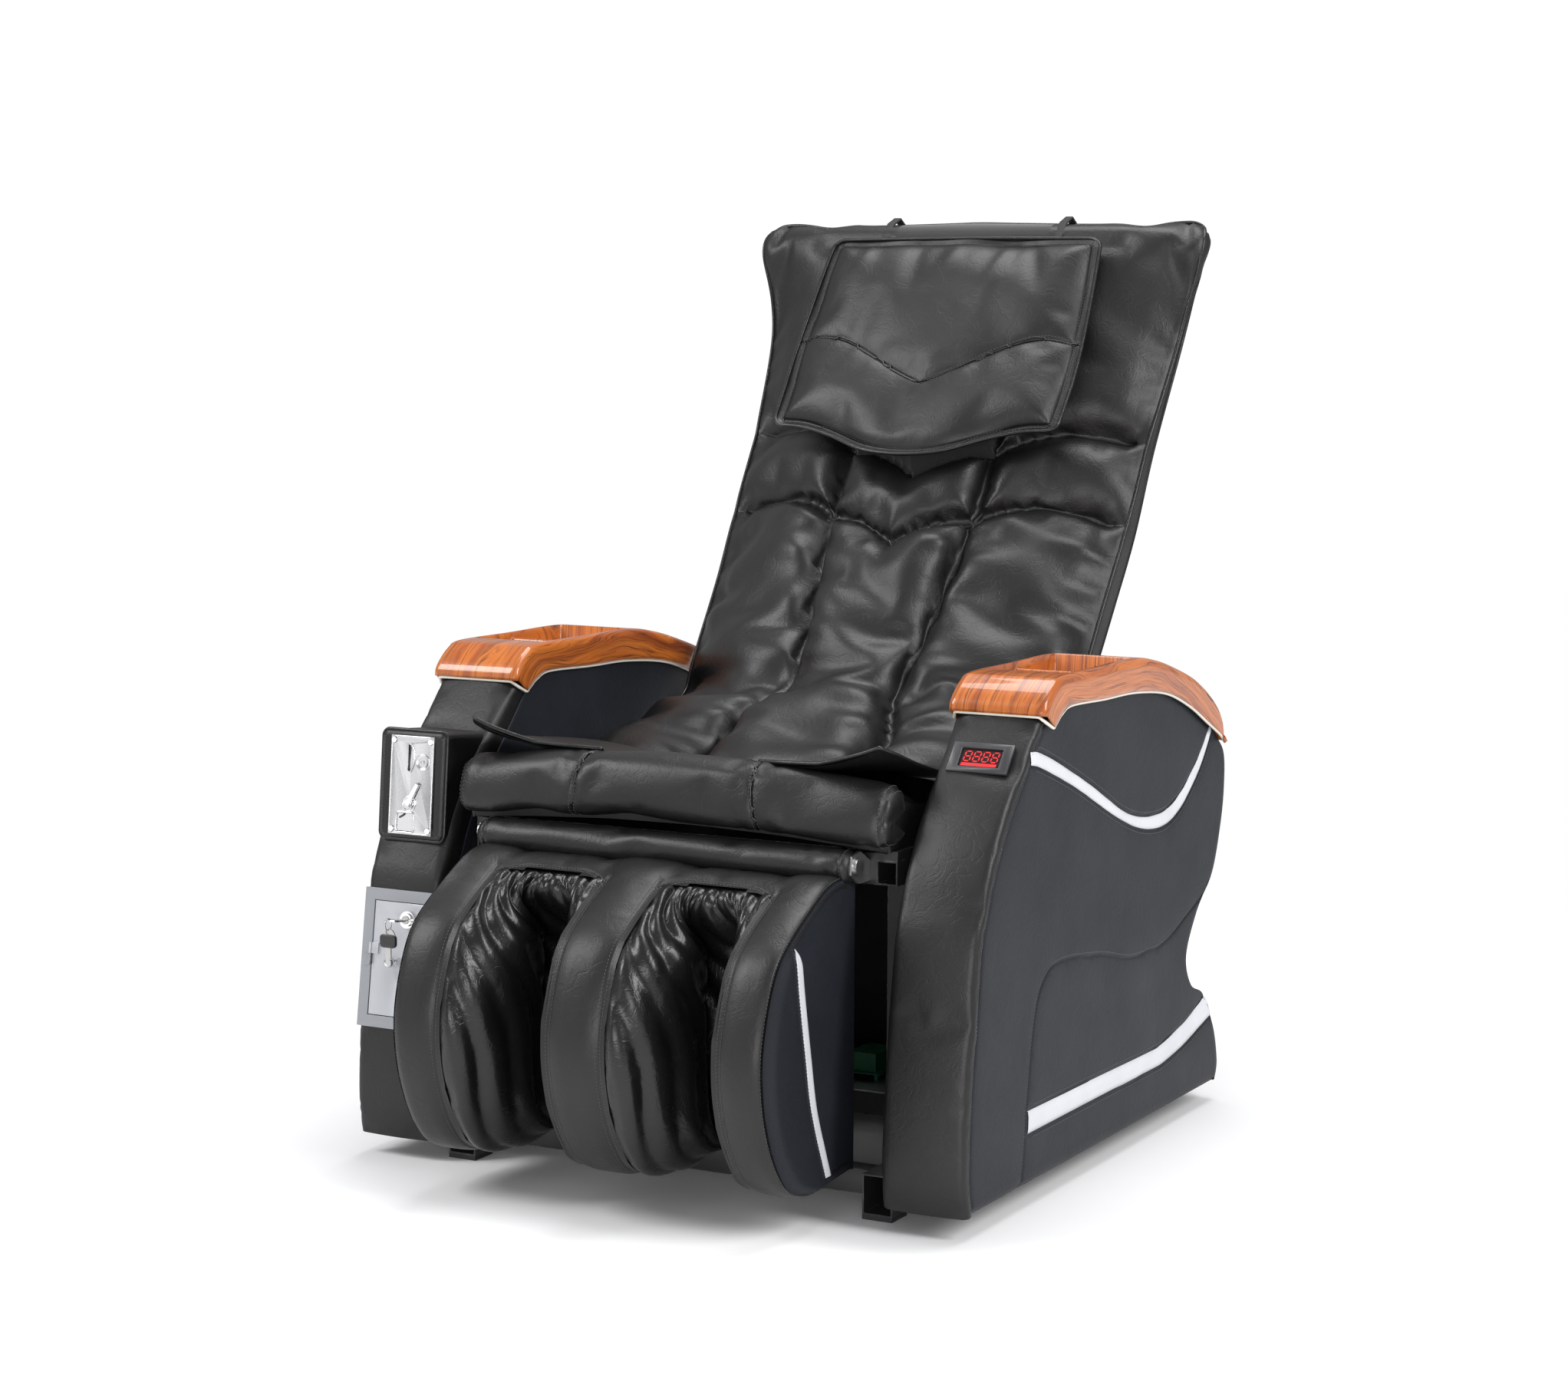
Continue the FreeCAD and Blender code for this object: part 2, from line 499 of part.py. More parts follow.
keep(spare_key, "spare_key")

# tray that catches the coins, on the shelf behind the door
keep(lean(cut(box(-34, 22, -73.5, 68, 82, 50), box(-32, 24, -71.5, 64, 78, 60)), "cash"), "cash_tray")

# ---------------------------------------------------------------- electrical units on the base, and their covers
FLOOR_TOP = 48
keep(box("-dims.rail_inner", 20, FLOOR_TOP - 2, "2 * dims.rail_inner", 250, 2), "floor_pan")
keep(box(-230, 60, FLOOR_TOP, 150, 110, 60), "power_supply")
keep(join(box(90, 70, FLOOR_TOP, 120, 90, 60), cylinder(20, 40, 150, 160, FLOOR_TOP + 30, "y")), "air_pump")
board = box(-60, 70, FLOOR_TOP + 8, 130, 90, 2)
heat_sink = box(20, 80, FLOOR_TOP + 10, 40, 60, 25)
connectors = box(-55, 75, FLOOR_TOP + 10, 12, 80, 12)
legs = [cylinder(3, 8, x, y, FLOOR_TOP) for x in (-52, 62) for y in (78, 152)]
keep(group(join(board, heat_sink, connectors, *legs), timer_board), "circuit_boards")
keep(join(cylinder(22, 90, -45, -110, 404, "x"), box(-35, -135, 424, 70, 50, 6)), "vibration_motor")

# rear cover: a folded sheet between the rails, with a cut-out for the mains inlet
INLET_X, INLET_Z = -235, 90
folds = [box(x, 240.3, 57, 3, 30, 283) for x in (-276, 273)]
cover = join(box(-276, 270, 20, 552, 3, 320), *folds)
keep(cut(cover, box(INLET_X - 24, 260, INLET_Z - 14, 48, 20, 28)), "rear_cover")
flange = box(INLET_X - 29, 273, INLET_Z - 19, 58, 2, 38)
inlet = join(box(INLET_X - 24, 250, INLET_Z - 14, 48, 23, 28), flange)
keep(cut(inlet, box(INLET_X - 12, 260, INLET_Z - 8, 24, 20, 16)), "power_inlet")

# ---------------------------------------------------------------- the back, in its own frame along the slope
# frame: two side tubes, three cross members, hinge plates, a torque tube and the drive lever
back_parts = []
inner_half = "dims.back_tube_outer - dims.back_tube"
for side in (-1, 1):
    low, high = span(side, inner_half, "dims.back_tube_outer")
    upright = tube(low, "dims.back_tube_level", 40, "dims.back_tube", "dims.back_tube", 740, "z")
    back_parts.append(lean(upright, "back"))
for height in (118, 700):
    member = tube(f"-({inner_half})", 85, height, f"2 * ({inner_half})", 30, 22, "x")
    bearing = cylinder("dims.screw_radius + 0.1", 60, 0, "dims.screw_level", height - 20)
    back_parts.append(lean(cut(member, bearing), "back"))
top_member = tube(f"-({inner_half})", "dims.back_tube_level", 758, f"2 * ({inner_half})", 22, 22, "x")
back_parts.append(lean(top_member, "back"))
HINGE_PLATE = [(-20, -20), (20, -20), (84, 60), (84, 170), (60, 170), (56, 100), (-20, 20)]
for side in (-1, 1):
    low, high = span(side, "dims.back_tube_outer", "dims.back_tube_outer + dims.hinge_plate")
    hole = cylinder("dims.pin_radius + dims.pin_gap", 20, f"({low}) - 5", "dims.pivot_y",
                    "dims.pivot_z", "x")
    back_parts.append(cut(lean(profile(polygon(HINGE_PLATE), low, high), "back"), hole))
LEVER = [(75, 445), (105, 445), (lever_end_y + 14, lever_end_z + 4), (lever_end_y + 8, lever_end_z - 12),
         (lever_end_y - 8, lever_end_z - 12), (lever_end_y - 14, lever_end_z + 4)]
torque_parts = [cylinder("dims.torque_tube", "2 * dims.back_tube_outer", "-dims.back_tube_outer",
                         "dims.pivot_y", "dims.pivot_z", "x")]
torque_parts += [profile(polygon(LEVER), *span(side, 7, 13)) for side in (-1, 1)]
torque_parts.append(cylinder("dims.lever_pin", 26, -13, lever_end_y, lever_end_z, "x"))
pin_room = cylinder("dims.pin_radius + 0.3", 600, -300, "dims.pivot_y", "dims.pivot_z", "x")
back_parts.append(cut(join(*torque_parts), pin_room))
keep(group(*back_parts), "back_frame")

rails = []
for side in (-1, 1):
    low, high = span(side, "dims.carriage_half + 6", "dims.carriage_half + 30")
    channel = box(low, 70, "dims.drive_low", 24, 26, "dims.drive_high - dims.drive_low")
    low, high = span(side, "dims.carriage_half + 1", "dims.carriage_half + 26")
    groove = box(low, 76, "dims.drive_low - 1", 25, 14, "dims.drive_high - dims.drive_low + 2")
    rails.append(lean(cut(channel, groove), "back"))
keep(group(*rails), "massage_rails")

# lead screw in its two bearings, and the motor that turns it from the top
keep(lean(cylinder("dims.screw_radius", "dims.drive_high - dims.drive_low + 61", 0, "dims.screw_level",
                   "dims.drive_low - 27"), "back"), "lead_screw")
motor = cylinder(20, 36, 0, "dims.screw_level", "dims.drive_high + 22")
socket = cylinder("dims.screw_radius + 0.1", 20, 0, "dims.screw_level", "dims.drive_high + 16")
keep(lean(cut(motor, socket), "back"), "screw_motor")

# carriage: a plate on four guide pegs, with the nut, the kneading motor and the yoke's two bearings
at = "dims.carriage_at"
carriage_parts = [box("-dims.carriage_half", 78, f"{at} - 45", "2 * dims.carriage_half", 10, 90),
                  cut(box(-20, 88, f"{at} - 25", 40, 30, 50),
                      cylinder("dims.screw_radius + 0.1", 90, 0, "dims.screw_level", f"{at} - 45")),
                  box(45, 88, f"{at} - 35", 80, 38, 70)]
for side in (-1, 1):
    low, high = span(side, "dims.carriage_half", "dims.carriage_half + 22")
    carriage_parts += [cylinder(6, 22, low, 83, f"{at} + {height}", "x") for height in (-35, 35)]
    low, high = span(side, 148, 158)
    holder = box(low, 50, f"{at} - 14", 10, 28, 28)
    carriage_parts.append(cut(holder, cylinder(8.05, 30, f"({low}) - 10", "dims.yoke_level", at, "x")))
keep(lean(join(*carriage_parts), "back"), "massage_carriage")

# kneading yoke: a shaft with two rocking arms, which carry an upper and a lower pair of rollers
level, offset, centre = dim("roller_level"), dim("roller_offset"), dim("carriage_at")
HUB = [(48, -14), (72, -14), (72, 14), (48, 14)]
ROCKER = [(52, 6), (68, 12), (level + 5, offset + 7), (level - 7, offset + 5), (level - 7, offset - 5)]
yoke_parts = [cylinder(8, 316, -158, "dims.yoke_level", at, "x")]
rollers = {1: [], -1: []}
for side in (-1, 1):
    low, high = span(side, 71, 79)
    yoke_parts.append(profile(polygon([(y, centre + z) for y, z in HUB]), low, high))
    for up in (-1, 1):
        yoke_parts.append(profile(polygon([(y, centre + up * z) for y, z in ROCKER]), low, high))
        height = f"{at} + {up} * dims.roller_offset"
        axle_low = span(side, 79, 109)[0]
        yoke_parts.append(cylinder("dims.axle_radius", 30, axle_low, "dims.roller_level", height, "x"))
        roller_low = span(side, 80, "80 + dims.roller_wide")[0]
        tyre = cylinder("dims.roller_radius", "dims.roller_wide", roller_low, "dims.roller_level", height, "x")
        bore = cylinder("dims.axle_radius + 0.05", 60, f"({axle_low}) - 10", "dims.roller_level", height, "x")
        rollers[up].append(lean(cut(tyre, bore), "back"))
keep(lean(join(*yoke_parts), "back"), "kneading_yoke")
keep(group(*rollers[1]), "upper_massage_rollers")
keep(group(*rollers[-1]), "lower_massage_rollers")


def loft(sections):
    """A ruled solid through closed polygons, each at its own height along the back."""
    wires = []
    for height, points in sections:
        ring = [Vector(x, -level, height) for x, level in points]
        wires.append(Part.makePolygon(ring + ring[:1]))
    return Part.makeLoft(wires, True, True)


def back_feature(shape, label):
    """A finished sub-part whose shape is made in the back's own frame."""
    obj = doc.addObject("Part::Feature", "Loft")
    obj.Shape = shape
    return keep(lean(obj, "back"), label)


# padded cover: height along the back, half width, then how far its edge and its middle stand forward
PAD_ROWS = [(118, 296, -20, 82), (157, 300, -24, 78), (208, 300, -28, 62), (314, 302, -34, 60),
            (420, 310, -36, 48), (547, 314, -36, 36), (700, 326, -30, 33), (780, 344, -4, 33),
            (818, 350, 12, 32), (850, 338, 12, 26), (871, 300, 6, 12)]
PAD_THICK, COLUMN_HALF, HOLLOW_HALF, HOLLOW = 16, 110, 160, -13
pad_sections = []
for height, half, edge, middle in PAD_ROWS:
    rear = edge - PAD_THICK
    front_side = [(-half, edge), (-COLUMN_HALF, middle), (COLUMN_HALF, middle), (half, edge), (half, rear)]
    rear_side = [(240, -50), (HOLLOW_HALF, HOLLOW), (-HOLLOW_HALF, HOLLOW), (-240, -50), (-half, rear)]
    pad_sections.append((height, front_side + rear_side))
back_feature(loft(pad_sections), "back_pad")

# rear shell: a tapering cover, open to the front and at its foot; rows are height, half width and depth
SHELL_ROWS = [(20, 262, 112), (60, 264, 126), (300, 268, 142), (600, 268, 142), (760, 266, 134),
              (850, 262, 84.2)]
SHELL_SKIN, SHELL_TAPER, SHELL_RIM = 3.5, 26, 52
outside = []
inside = []
for height, half, depth in SHELL_ROWS:
    outside.append((height, [(-half, -SHELL_RIM), (half, -SHELL_RIM), (half - SHELL_TAPER, -depth),
                             (-half + SHELL_TAPER, -depth)]))
    lift = {SHELL_ROWS[0][0]: -10, SHELL_ROWS[-1][0]: -SHELL_SKIN}.get(height, 0)
    half, depth = half - SHELL_SKIN, depth - SHELL_SKIN
    rim = -SHELL_RIM + 12
    inside.append((height + lift, [(-half, rim), (half, rim), (half - SHELL_TAPER, -depth),
                                   (-half + SHELL_TAPER, -depth)]))
back_feature(loft(outside).cut(loft(inside)), "back_shell")

# headrest pad, hung in front of the back's top by two straps over the top edge
HEAD_PAD = [(-209, 822), (209, 822), (219, 508), (130, 496), (60, 472), (-60, 472), (-130, 496), (-219, 508)]
keep(lean(profile(polygon(HEAD_PAD), 47, 71, plane="XZ_Plane"), "back"), "headrest_pad")
STRAP = [(-38, 826), (-33, 856), (-20, 874), (16, 874), (16, 856), (19, 856), (19, 877), (-21, 877),
         (-36, 858), (-41, 827)]
straps = [lean(profile(polygon(STRAP), x - 6, x + 6), "back") for x in (-136, 136)]
keep(group(*straps), "headrest_straps")

# ---------------------------------------------------------------- calf rest
pivot = ("dims.calf_pivot_y", "dims.calf_pivot_z")
board = box("-dims.calf_half + 6", "dims.calf_back - dims.calf_board", 60, "2 * dims.calf_half - 12",
            "dims.calf_board", 340)
hinge_tube = cylinder("dims.hinge_tube", "2 * dims.calf_half", "-dims.calf_half", *pivot, "x")
tabs = [box(x, "dims.calf_back - 12", 395, 40, 6, 30) for x in (-220, -20, 180)]
keep(cut(join(board, hinge_tube, *tabs), cylinder("dims.calf_pin + 0.1", 600, -300, *pivot, "x")), "calf_frame")

LOBE_FRONT = [(-404, 411), (-440, 408), (-474, 389), (-527, 360), (-562, 334), (-583, 292),
              (-598.5, 235), (-596, 178), (-578, 126), (-555, 88), (-526, 62), (-480, 50)]
LOBE = [spline(LOBE_FRONT), line((-480, 50), (-380.3, 55)), line((-380.3, 55), (-380.3, 400)),
        line((-380.3, 400), (-404, 411))]
BRIDGE = [(-380.3, 386), (-380.3, 400), (-404, 411), (-440, 407), (-440, 394), (-404, 397)]
AIRBAG = [(-392, 372), (-450, 372), (-520, 330), (-560, 270), (-566, 200), (-548, 140), (-510, 96),
          (-440, 78), (-392, 84)]
outer_lobes = []
airbags = []
for side in (-1, 1):
    outer_lobes.append(profile(LOBE, *span(side, "dims.lobe_in", "dims.calf_half")))
    outer_lobes.append(profile(polygon(BRIDGE), *span(side, "dims.lobe_half", "dims.lobe_in")))
    for near, far in (("dims.lobe_half", "dims.lobe_half + dims.airbag"),
                      ("dims.lobe_in - dims.airbag", "dims.lobe_in")):
        airbags.append(profile([spline(AIRBAG), line(AIRBAG[-1], AIRBAG[0])], *span(side, near, far)))
keep(group(*outer_lobes), "outer_calf_lobes")
keep(profile(LOBE, "-dims.lobe_half", "dims.lobe_half"), "middle_calf_lobe")
keep(group(*airbags), "calf_airbags")

# soft roll round the hinge tube, slit behind for the tabs
roll = cylinder("dims.hinge_roll", "2 * dims.hinge_half", "-dims.hinge_half", *pivot, "x")
core = cylinder("dims.hinge_tube + 0.3", 600, -300, *pivot, "x")
keep(cut(roll, core, box(-300, "dims.calf_back - 15", 390, 600, 12, 36)), "hinge_roll")

# ---------------------------------------------------------------- check and write
doc.recompute()
for obj in doc.Objects:
    if "Invalid" in obj.State or "Error" in obj.State:
        raise SystemExit(f"{obj.Name} ({obj.Label}) failed: {obj.State}")

os.makedirs("parts", exist_ok=True)
whole = FreeCAD.BoundBox()
for obj in finished:
    shape = obj.Shape
    if shape.isNull() or not shape.isValid() or not shape.Solids:
        raise SystemExit(f"{obj.Label} has no valid shape")
    whole.add(shape.BoundBox)
    shape.exportStep(os.path.join("parts", obj.Label + ".step"))
print(f"{len(finished)} sub-parts")
for axis in "XYZ":
    low, high = getattr(whole, axis + "Min"), getattr(whole, axis + "Max")
    print(f"{axis} {low:.2f} to {high:.2f}")
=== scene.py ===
"""Looks of a coin-operated massage chair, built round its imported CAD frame.

Lengths in the outlines are millimetres, in the frame's axes: X to the occupant's left, Y to the back, Z up.
Covers are grids over a flat pattern: a pattern point maps onto the padded shape, a cloth simulation puffs the
cover between its seams, and the seams are then pressed into it.
"""

import json
import math

import bmesh
import bpy
import numpy as np
from mathutils import Matrix, Vector
from mathutils.bvhtree import BVHTree


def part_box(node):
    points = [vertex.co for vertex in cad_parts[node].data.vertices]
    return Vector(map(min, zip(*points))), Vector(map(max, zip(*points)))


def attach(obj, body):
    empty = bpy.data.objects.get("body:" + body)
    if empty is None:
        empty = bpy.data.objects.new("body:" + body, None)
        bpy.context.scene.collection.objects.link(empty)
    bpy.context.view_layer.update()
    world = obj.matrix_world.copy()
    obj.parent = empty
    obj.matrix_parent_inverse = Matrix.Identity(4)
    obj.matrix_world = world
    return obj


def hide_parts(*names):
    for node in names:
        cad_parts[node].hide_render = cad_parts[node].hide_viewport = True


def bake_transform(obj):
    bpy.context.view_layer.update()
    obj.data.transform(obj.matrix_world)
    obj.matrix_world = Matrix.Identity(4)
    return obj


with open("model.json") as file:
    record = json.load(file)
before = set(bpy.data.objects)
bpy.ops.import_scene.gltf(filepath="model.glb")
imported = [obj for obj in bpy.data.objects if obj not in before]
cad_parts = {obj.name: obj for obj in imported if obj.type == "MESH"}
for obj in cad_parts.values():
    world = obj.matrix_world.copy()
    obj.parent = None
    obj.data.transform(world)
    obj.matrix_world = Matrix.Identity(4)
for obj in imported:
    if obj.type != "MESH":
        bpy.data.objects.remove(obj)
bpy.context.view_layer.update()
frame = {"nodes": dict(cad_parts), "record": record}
NODES = frame["nodes"]
MM = 0.001
TINY = 1e-9
SIDES = {"left": 1, "right": -1}


# ---------------------------------------------------------------- curves and patterns
def clamp(values):
    return np.clip(values, 0, 1)


def columns(*parts):
    """Points from their coordinates, some of which may be single numbers."""
    return np.stack(np.broadcast_arrays(*parts), axis=-1).astype(float)


def beside(level, flat):
    """Points at one X, from their Y and Z."""
    return columns(level, *np.asarray(flat).T)


def lengths(path):
    """The distance along the path at each of its points."""
    return np.concatenate([[0], np.cumsum(np.linalg.norm(np.diff(path, axis=0), axis=1))])


def look_up(at, run, table):
    """Each of the table's columns at distances along it."""
    return [np.interp(at, run, column) for column in np.asarray(table).T]


def unit_rows(vectors):
    return vectors / np.maximum(np.linalg.norm(vectors, axis=-1, keepdims=True), TINY)


def headings(path):
    """The path's direction at each of its points."""
    return unit_rows(np.gradient(path, axis=0))


def curve(points, count=60):
    """Evenly spaced points on a smooth curve through the given ones."""
    points = np.asarray(points, float)
    ends = np.vstack([2 * points[0] - points[1], points, 2 * points[-1] - points[-2]])
    dense = []
    for a, b, c, d in zip(ends, ends[1:], ends[2:], ends[3:]):
        for t in np.linspace(0, 1, 24, endpoint=False):
            dense.append(0.5 * (2 * b + (c - a) * t + (2 * a - 5 * b + 4 * c - d) * t ** 2
                + (3 * b - a - 3 * c + d) * t ** 3))
    return spread(np.vstack([dense, points[-1]]), count)


def spread(path, count):
    """The path again, with evenly spaced points."""
    run = lengths(path)
    return columns(*look_up(np.linspace(0, run[-1], count), run, path))


def spread_closed(path, count):
    """A closed outline again, with evenly spaced points."""
    return spread(np.vstack([path, path[:1]]), count)[:-1]


def run_length(path):
    return float(np.linalg.norm(np.diff(path, axis=0), axis=1).sum())


def smoothstep(t):
    t = clamp(t)
    return t * t * (3 - 2 * t)


def distance(points, lines):
    """How far each point is from the nearest of the lines."""
    best = np.full(len(points), np.inf)
    for line in lines:
        for a, b in zip(line[:-1], line[1:]):
            along = b - a
            t = clamp((points - a) @ along / max(along @ along, TINY))
            best = np.minimum(best, np.linalg.norm(points - a - t[:, None] * along, axis=1))
    return best


def grid_faces(rows, cols):
    index = np.arange(rows * cols).reshape(rows, cols)
    quads = np.stack([index[:-1, :-1], index[:-1, 1:], index[1:, 1:], index[1:, :-1]], axis=-1)
    return quads.reshape(-1, 4).tolist()


def pattern(us, vs, seams, passes=2, reach=9.0):
    """A flat grid with finer cells near the seams: its points and faces."""
    bm = bmesh.new()
    verts = [bm.verts.new((u, v, 0)) for v in vs for u in us]
    for face in grid_faces(len(vs), len(us)):
        bm.faces.new([verts[i] for i in face])
    for step in range(passes):
        bm.verts.index_update()
        near = distance(np.array([v.co[:2] for v in bm.verts]), seams) < reach / 1.6 ** step
        edges = [e for e in bm.edges if near[e.verts[0].index] and near[e.verts[1].index]]
        bmesh.ops.subdivide_edges(bm, edges=edges, cuts=1, use_grid_fill=True)
    bm.verts.index_update()
    points = np.array([v.co[:2] for v in bm.verts])
    faces = [[v.index for v in f.verts] for f in bm.faces]
    bm.free()
    return points, faces


def sample(field, us, vs, points):
    """A grid's values between its lines, smoothly."""
    def weights(at, line):
        place = (at - line[0]) / (line[1] - line[0])
        cell = np.clip(np.floor(place).astype(int), 0, len(line) - 2)
        t = place - cell
        share = [(-t ** 3 + 2 * t ** 2 - t) / 2, (3 * t ** 3 - 5 * t ** 2 + 2) / 2,
            (-3 * t ** 3 + 4 * t ** 2 + t) / 2, (t ** 3 - t ** 2) / 2]
        return [np.clip(cell + k - 1, 0, len(line) - 1) for k in range(4)], share

    cells_u, across = weights(points[:, 0], us)
    cells_v, along = weights(points[:, 1], vs)
    total = 0
    for row, a in zip(cells_v, along):
        for column, b in zip(cells_u, across):
            total = total + field[row, column] * (a * b)[:, None]
    return total


def normals_of(place, points, step=2.0):
    """The surface's normals at pattern points, by small steps."""
    du = place(points + [step, 0]) - place(points - [step, 0])
    dv = place(points + [0, step]) - place(points - [0, step])
    return unit_rows(np.cross(du, dv))


def coons(left, right, bottom, top):
    """A patch between four curves of the plane: a function of pattern points s, r from 0 to 1."""
    def at(line, t):
        return columns(*look_up(t, np.linspace(0, 1, len(line)), line))

    def place(s, r):
        s1, r1 = s[:, None], r[:, None]
        corners = ((1 - s1) * (1 - r1) * bottom[0] + s1 * (1 - r1) * bottom[-1] + (1 - s1) * r1 * top[0]
            + s1 * r1 * top[-1])
        sides = (1 - s1) * at(left, r) + s1 * at(right, r)
        return sides + (1 - r1) * at(bottom, s) + r1 * at(top, s) - corners
    return place


def puckers(line, reach, seed, spacing=34, long=(35, 95), wide=(7, 15), high=(1.5, 4.5), sides=(-1, 1),
        tilt=0.45):
    """Folds that start at a seam and fade out: start, direction, length, width and signed height of each."""
    rng = np.random.default_rng(seed)
    folds = []
    spots = spread(line, max(3, int(run_length(line) / spacing)))
    for spot, along in zip(spots, headings(spots)):
        for side in sides:
            angle = rng.uniform(-tilt, tilt)
            across = np.array([-along[1], along[0]]) * side
            heading = across * math.cos(angle) + along * math.sin(angle)
            start = spot + along * rng.uniform(-0.4, 0.4) * spacing
            if reach[0] <= start[1] <= reach[1]:
                folds.append((*start, *heading, rng.uniform(*long), rng.uniform(*wide),
                    rng.uniform(*high) * rng.choice([-1, 1])))
            else:  # a fold out of reach still uses up its draws
                rng.uniform(size=4)
    return folds


def fold_height(points, folds):
    """The sum of the folds at pattern points: each widens and fades along its length."""
    total = np.zeros(len(points))
    for x, y, dx, dy, long, wide, high in folds:
        away = points - [x, y]
        along = (away @ [dx, dy]) / long
        off = away @ [-dy, dx]
        spread_out = wide * (0.7 + 0.9 * clamp(along))
        shape = np.exp(-(off / spread_out) ** 2) * (1 - 0.35 * (off / spread_out) ** 2)
        total += high * shape * smoothstep(along / 0.16 + 0.5) * (1 - smoothstep((along - 0.25) / 0.75))
    return total


def dents(points, size, seed, count=16):
    """Broad soft unevenness about one millimetre high, about as wide as size."""
    rng = np.random.default_rng(seed)
    total = np.zeros(len(points))
    for _ in range(count):
        turn, phase, scale = rng.uniform(0, math.pi), rng.uniform(0, 2 * math.pi), rng.uniform(0.7, 1.6)
        wave = 2 * math.pi / (size * scale)
        total += np.sin(points @ [wave * math.cos(turn), wave * math.sin(turn)] + phase)
    return total * 1.4 / math.sqrt(count)


# ---------------------------------------------------------------- objects
def placed(name, data):
    """A new object in the scene."""
    obj = bpy.data.objects.new(name, data)
    bpy.context.scene.collection.objects.link(obj)
    return obj


def make(name, points, faces, material, uv=None):
    """A smooth mesh object from millimetre points."""
    mesh = bpy.data.meshes.new(name)
    mesh.from_pydata((np.asarray(points) * MM).tolist(), [], faces)
    if uv is not None:
        layer = mesh.uv_layers.new(name="UVMap")
        loops = np.zeros(len(mesh.loops), int)
        mesh.loops.foreach_get("vertex_index", loops)
        layer.data.foreach_set("uv", (np.asarray(uv)[loops] * MM).ravel())
    mesh.shade_smooth()
    mesh.materials.append(material)
    mesh.validate()
    return placed(name, mesh)


def settle(obj, body, slot, *nodes):
    """The piece rides on a body and stands for CAD nodes. The slot is not used."""
    if nodes:
        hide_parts(*nodes)
    if body:
        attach(obj, body)
    return obj


def tube(name, path, radius, material, sides=8, squash=1.0, closed=False):
    """A cord along a path, with rounded ends."""
    path = np.asarray(path, float)
    ahead = unit_rows(np.roll(path, -1, axis=0) - np.roll(path, 1, axis=0)) if closed else headings(path)
    side = np.cross(ahead[0], [0.13, 0.31, 0.94])
    rings = []
    turns = np.linspace(0, 2 * math.pi, sides, endpoint=False)
    for point, direction in zip(path, ahead):
        side = unit_rows(side - (side @ direction) * direction)
        up = np.cross(direction, side)
        rings.append(point + radius * (np.outer(np.cos(turns), side) + squash * np.outer(np.sin(turns), up)))
    count = len(path)
    faces = []
    for j in range(count if closed else count - 1):
        for k in range(sides):
            a, b = j * sides, (j + 1) % count * sides
            faces.append([a + k, a + (k + 1) % sides, b + (k + 1) % sides, b + k])
    points = np.vstack(rings)
    if not closed:
        points = np.vstack([points, path[0] - ahead[0] * radius * 0.6, path[-1] + ahead[-1] * radius * 0.6])
        last = (count - 1) * sides
        for k in range(sides):
            faces.append([count * sides, (k + 1) % sides, k])
            faces.append([count * sides + 1, last + k, last + (k + 1) % sides])
    return make(name, points, faces, material)


def stitches(name, paths, material, pitch=5.0, long=3.4, radius=0.45, lift=0.15):
    """Rows of thread stitches. Each path is points and normals on the leather."""
    shape = [(-1, 0, -0.9), (-0.55, 0.9, 0.1), (-0.55, -0.9, 0.1), (-0.5, 0, 0.9), (0.55, 0.9, 0.1),
        (0.55, -0.9, 0.1), (0.5, 0, 0.9), (1, 0, -0.9)]
    skin = [[0, 1, 3], [0, 3, 2], [1, 4, 6, 3], [3, 6, 5, 2], [4, 7, 6], [6, 7, 5]]
    points, faces = [], []
    for path, normals in paths:
        count = max(2, int(run_length(path) / pitch))
        spots = spread(np.hstack([path, normals]), count)
        for a, b in zip(spots[:-1], spots[1:]):
            along, up = unit_rows(b[:3] - a[:3]), unit_rows(a[3:])
            across = np.cross(up, along)
            start = len(points)
            middle = (a[:3] + b[:3]) / 2 + up * lift
            for x, y, z in shape:
                points.append(middle + along * x * long / 2 + across * y * radius + up * z * radius)
            faces += [[start + k for k in face] for face in skin]
    return make(name, points, faces, material)


def onto(obj, path, away=0.0):
    """The path pulled onto the object's surface: points, lifted by away, and normals."""
    mesh = obj.data
    tree = BVHTree.FromPolygons([v.co for v in mesh.vertices], [p.vertices[:] for p in mesh.polygons])
    points, normals = [], []
    for point in np.asarray(path) * MM:
        spot, normal, _, _ = tree.find_nearest(Vector(point))
        points.append(np.array(spot) / MM + np.array(normal) * away)
        normals.append(np.array(normal))
    return np.array(points), np.array(normals)


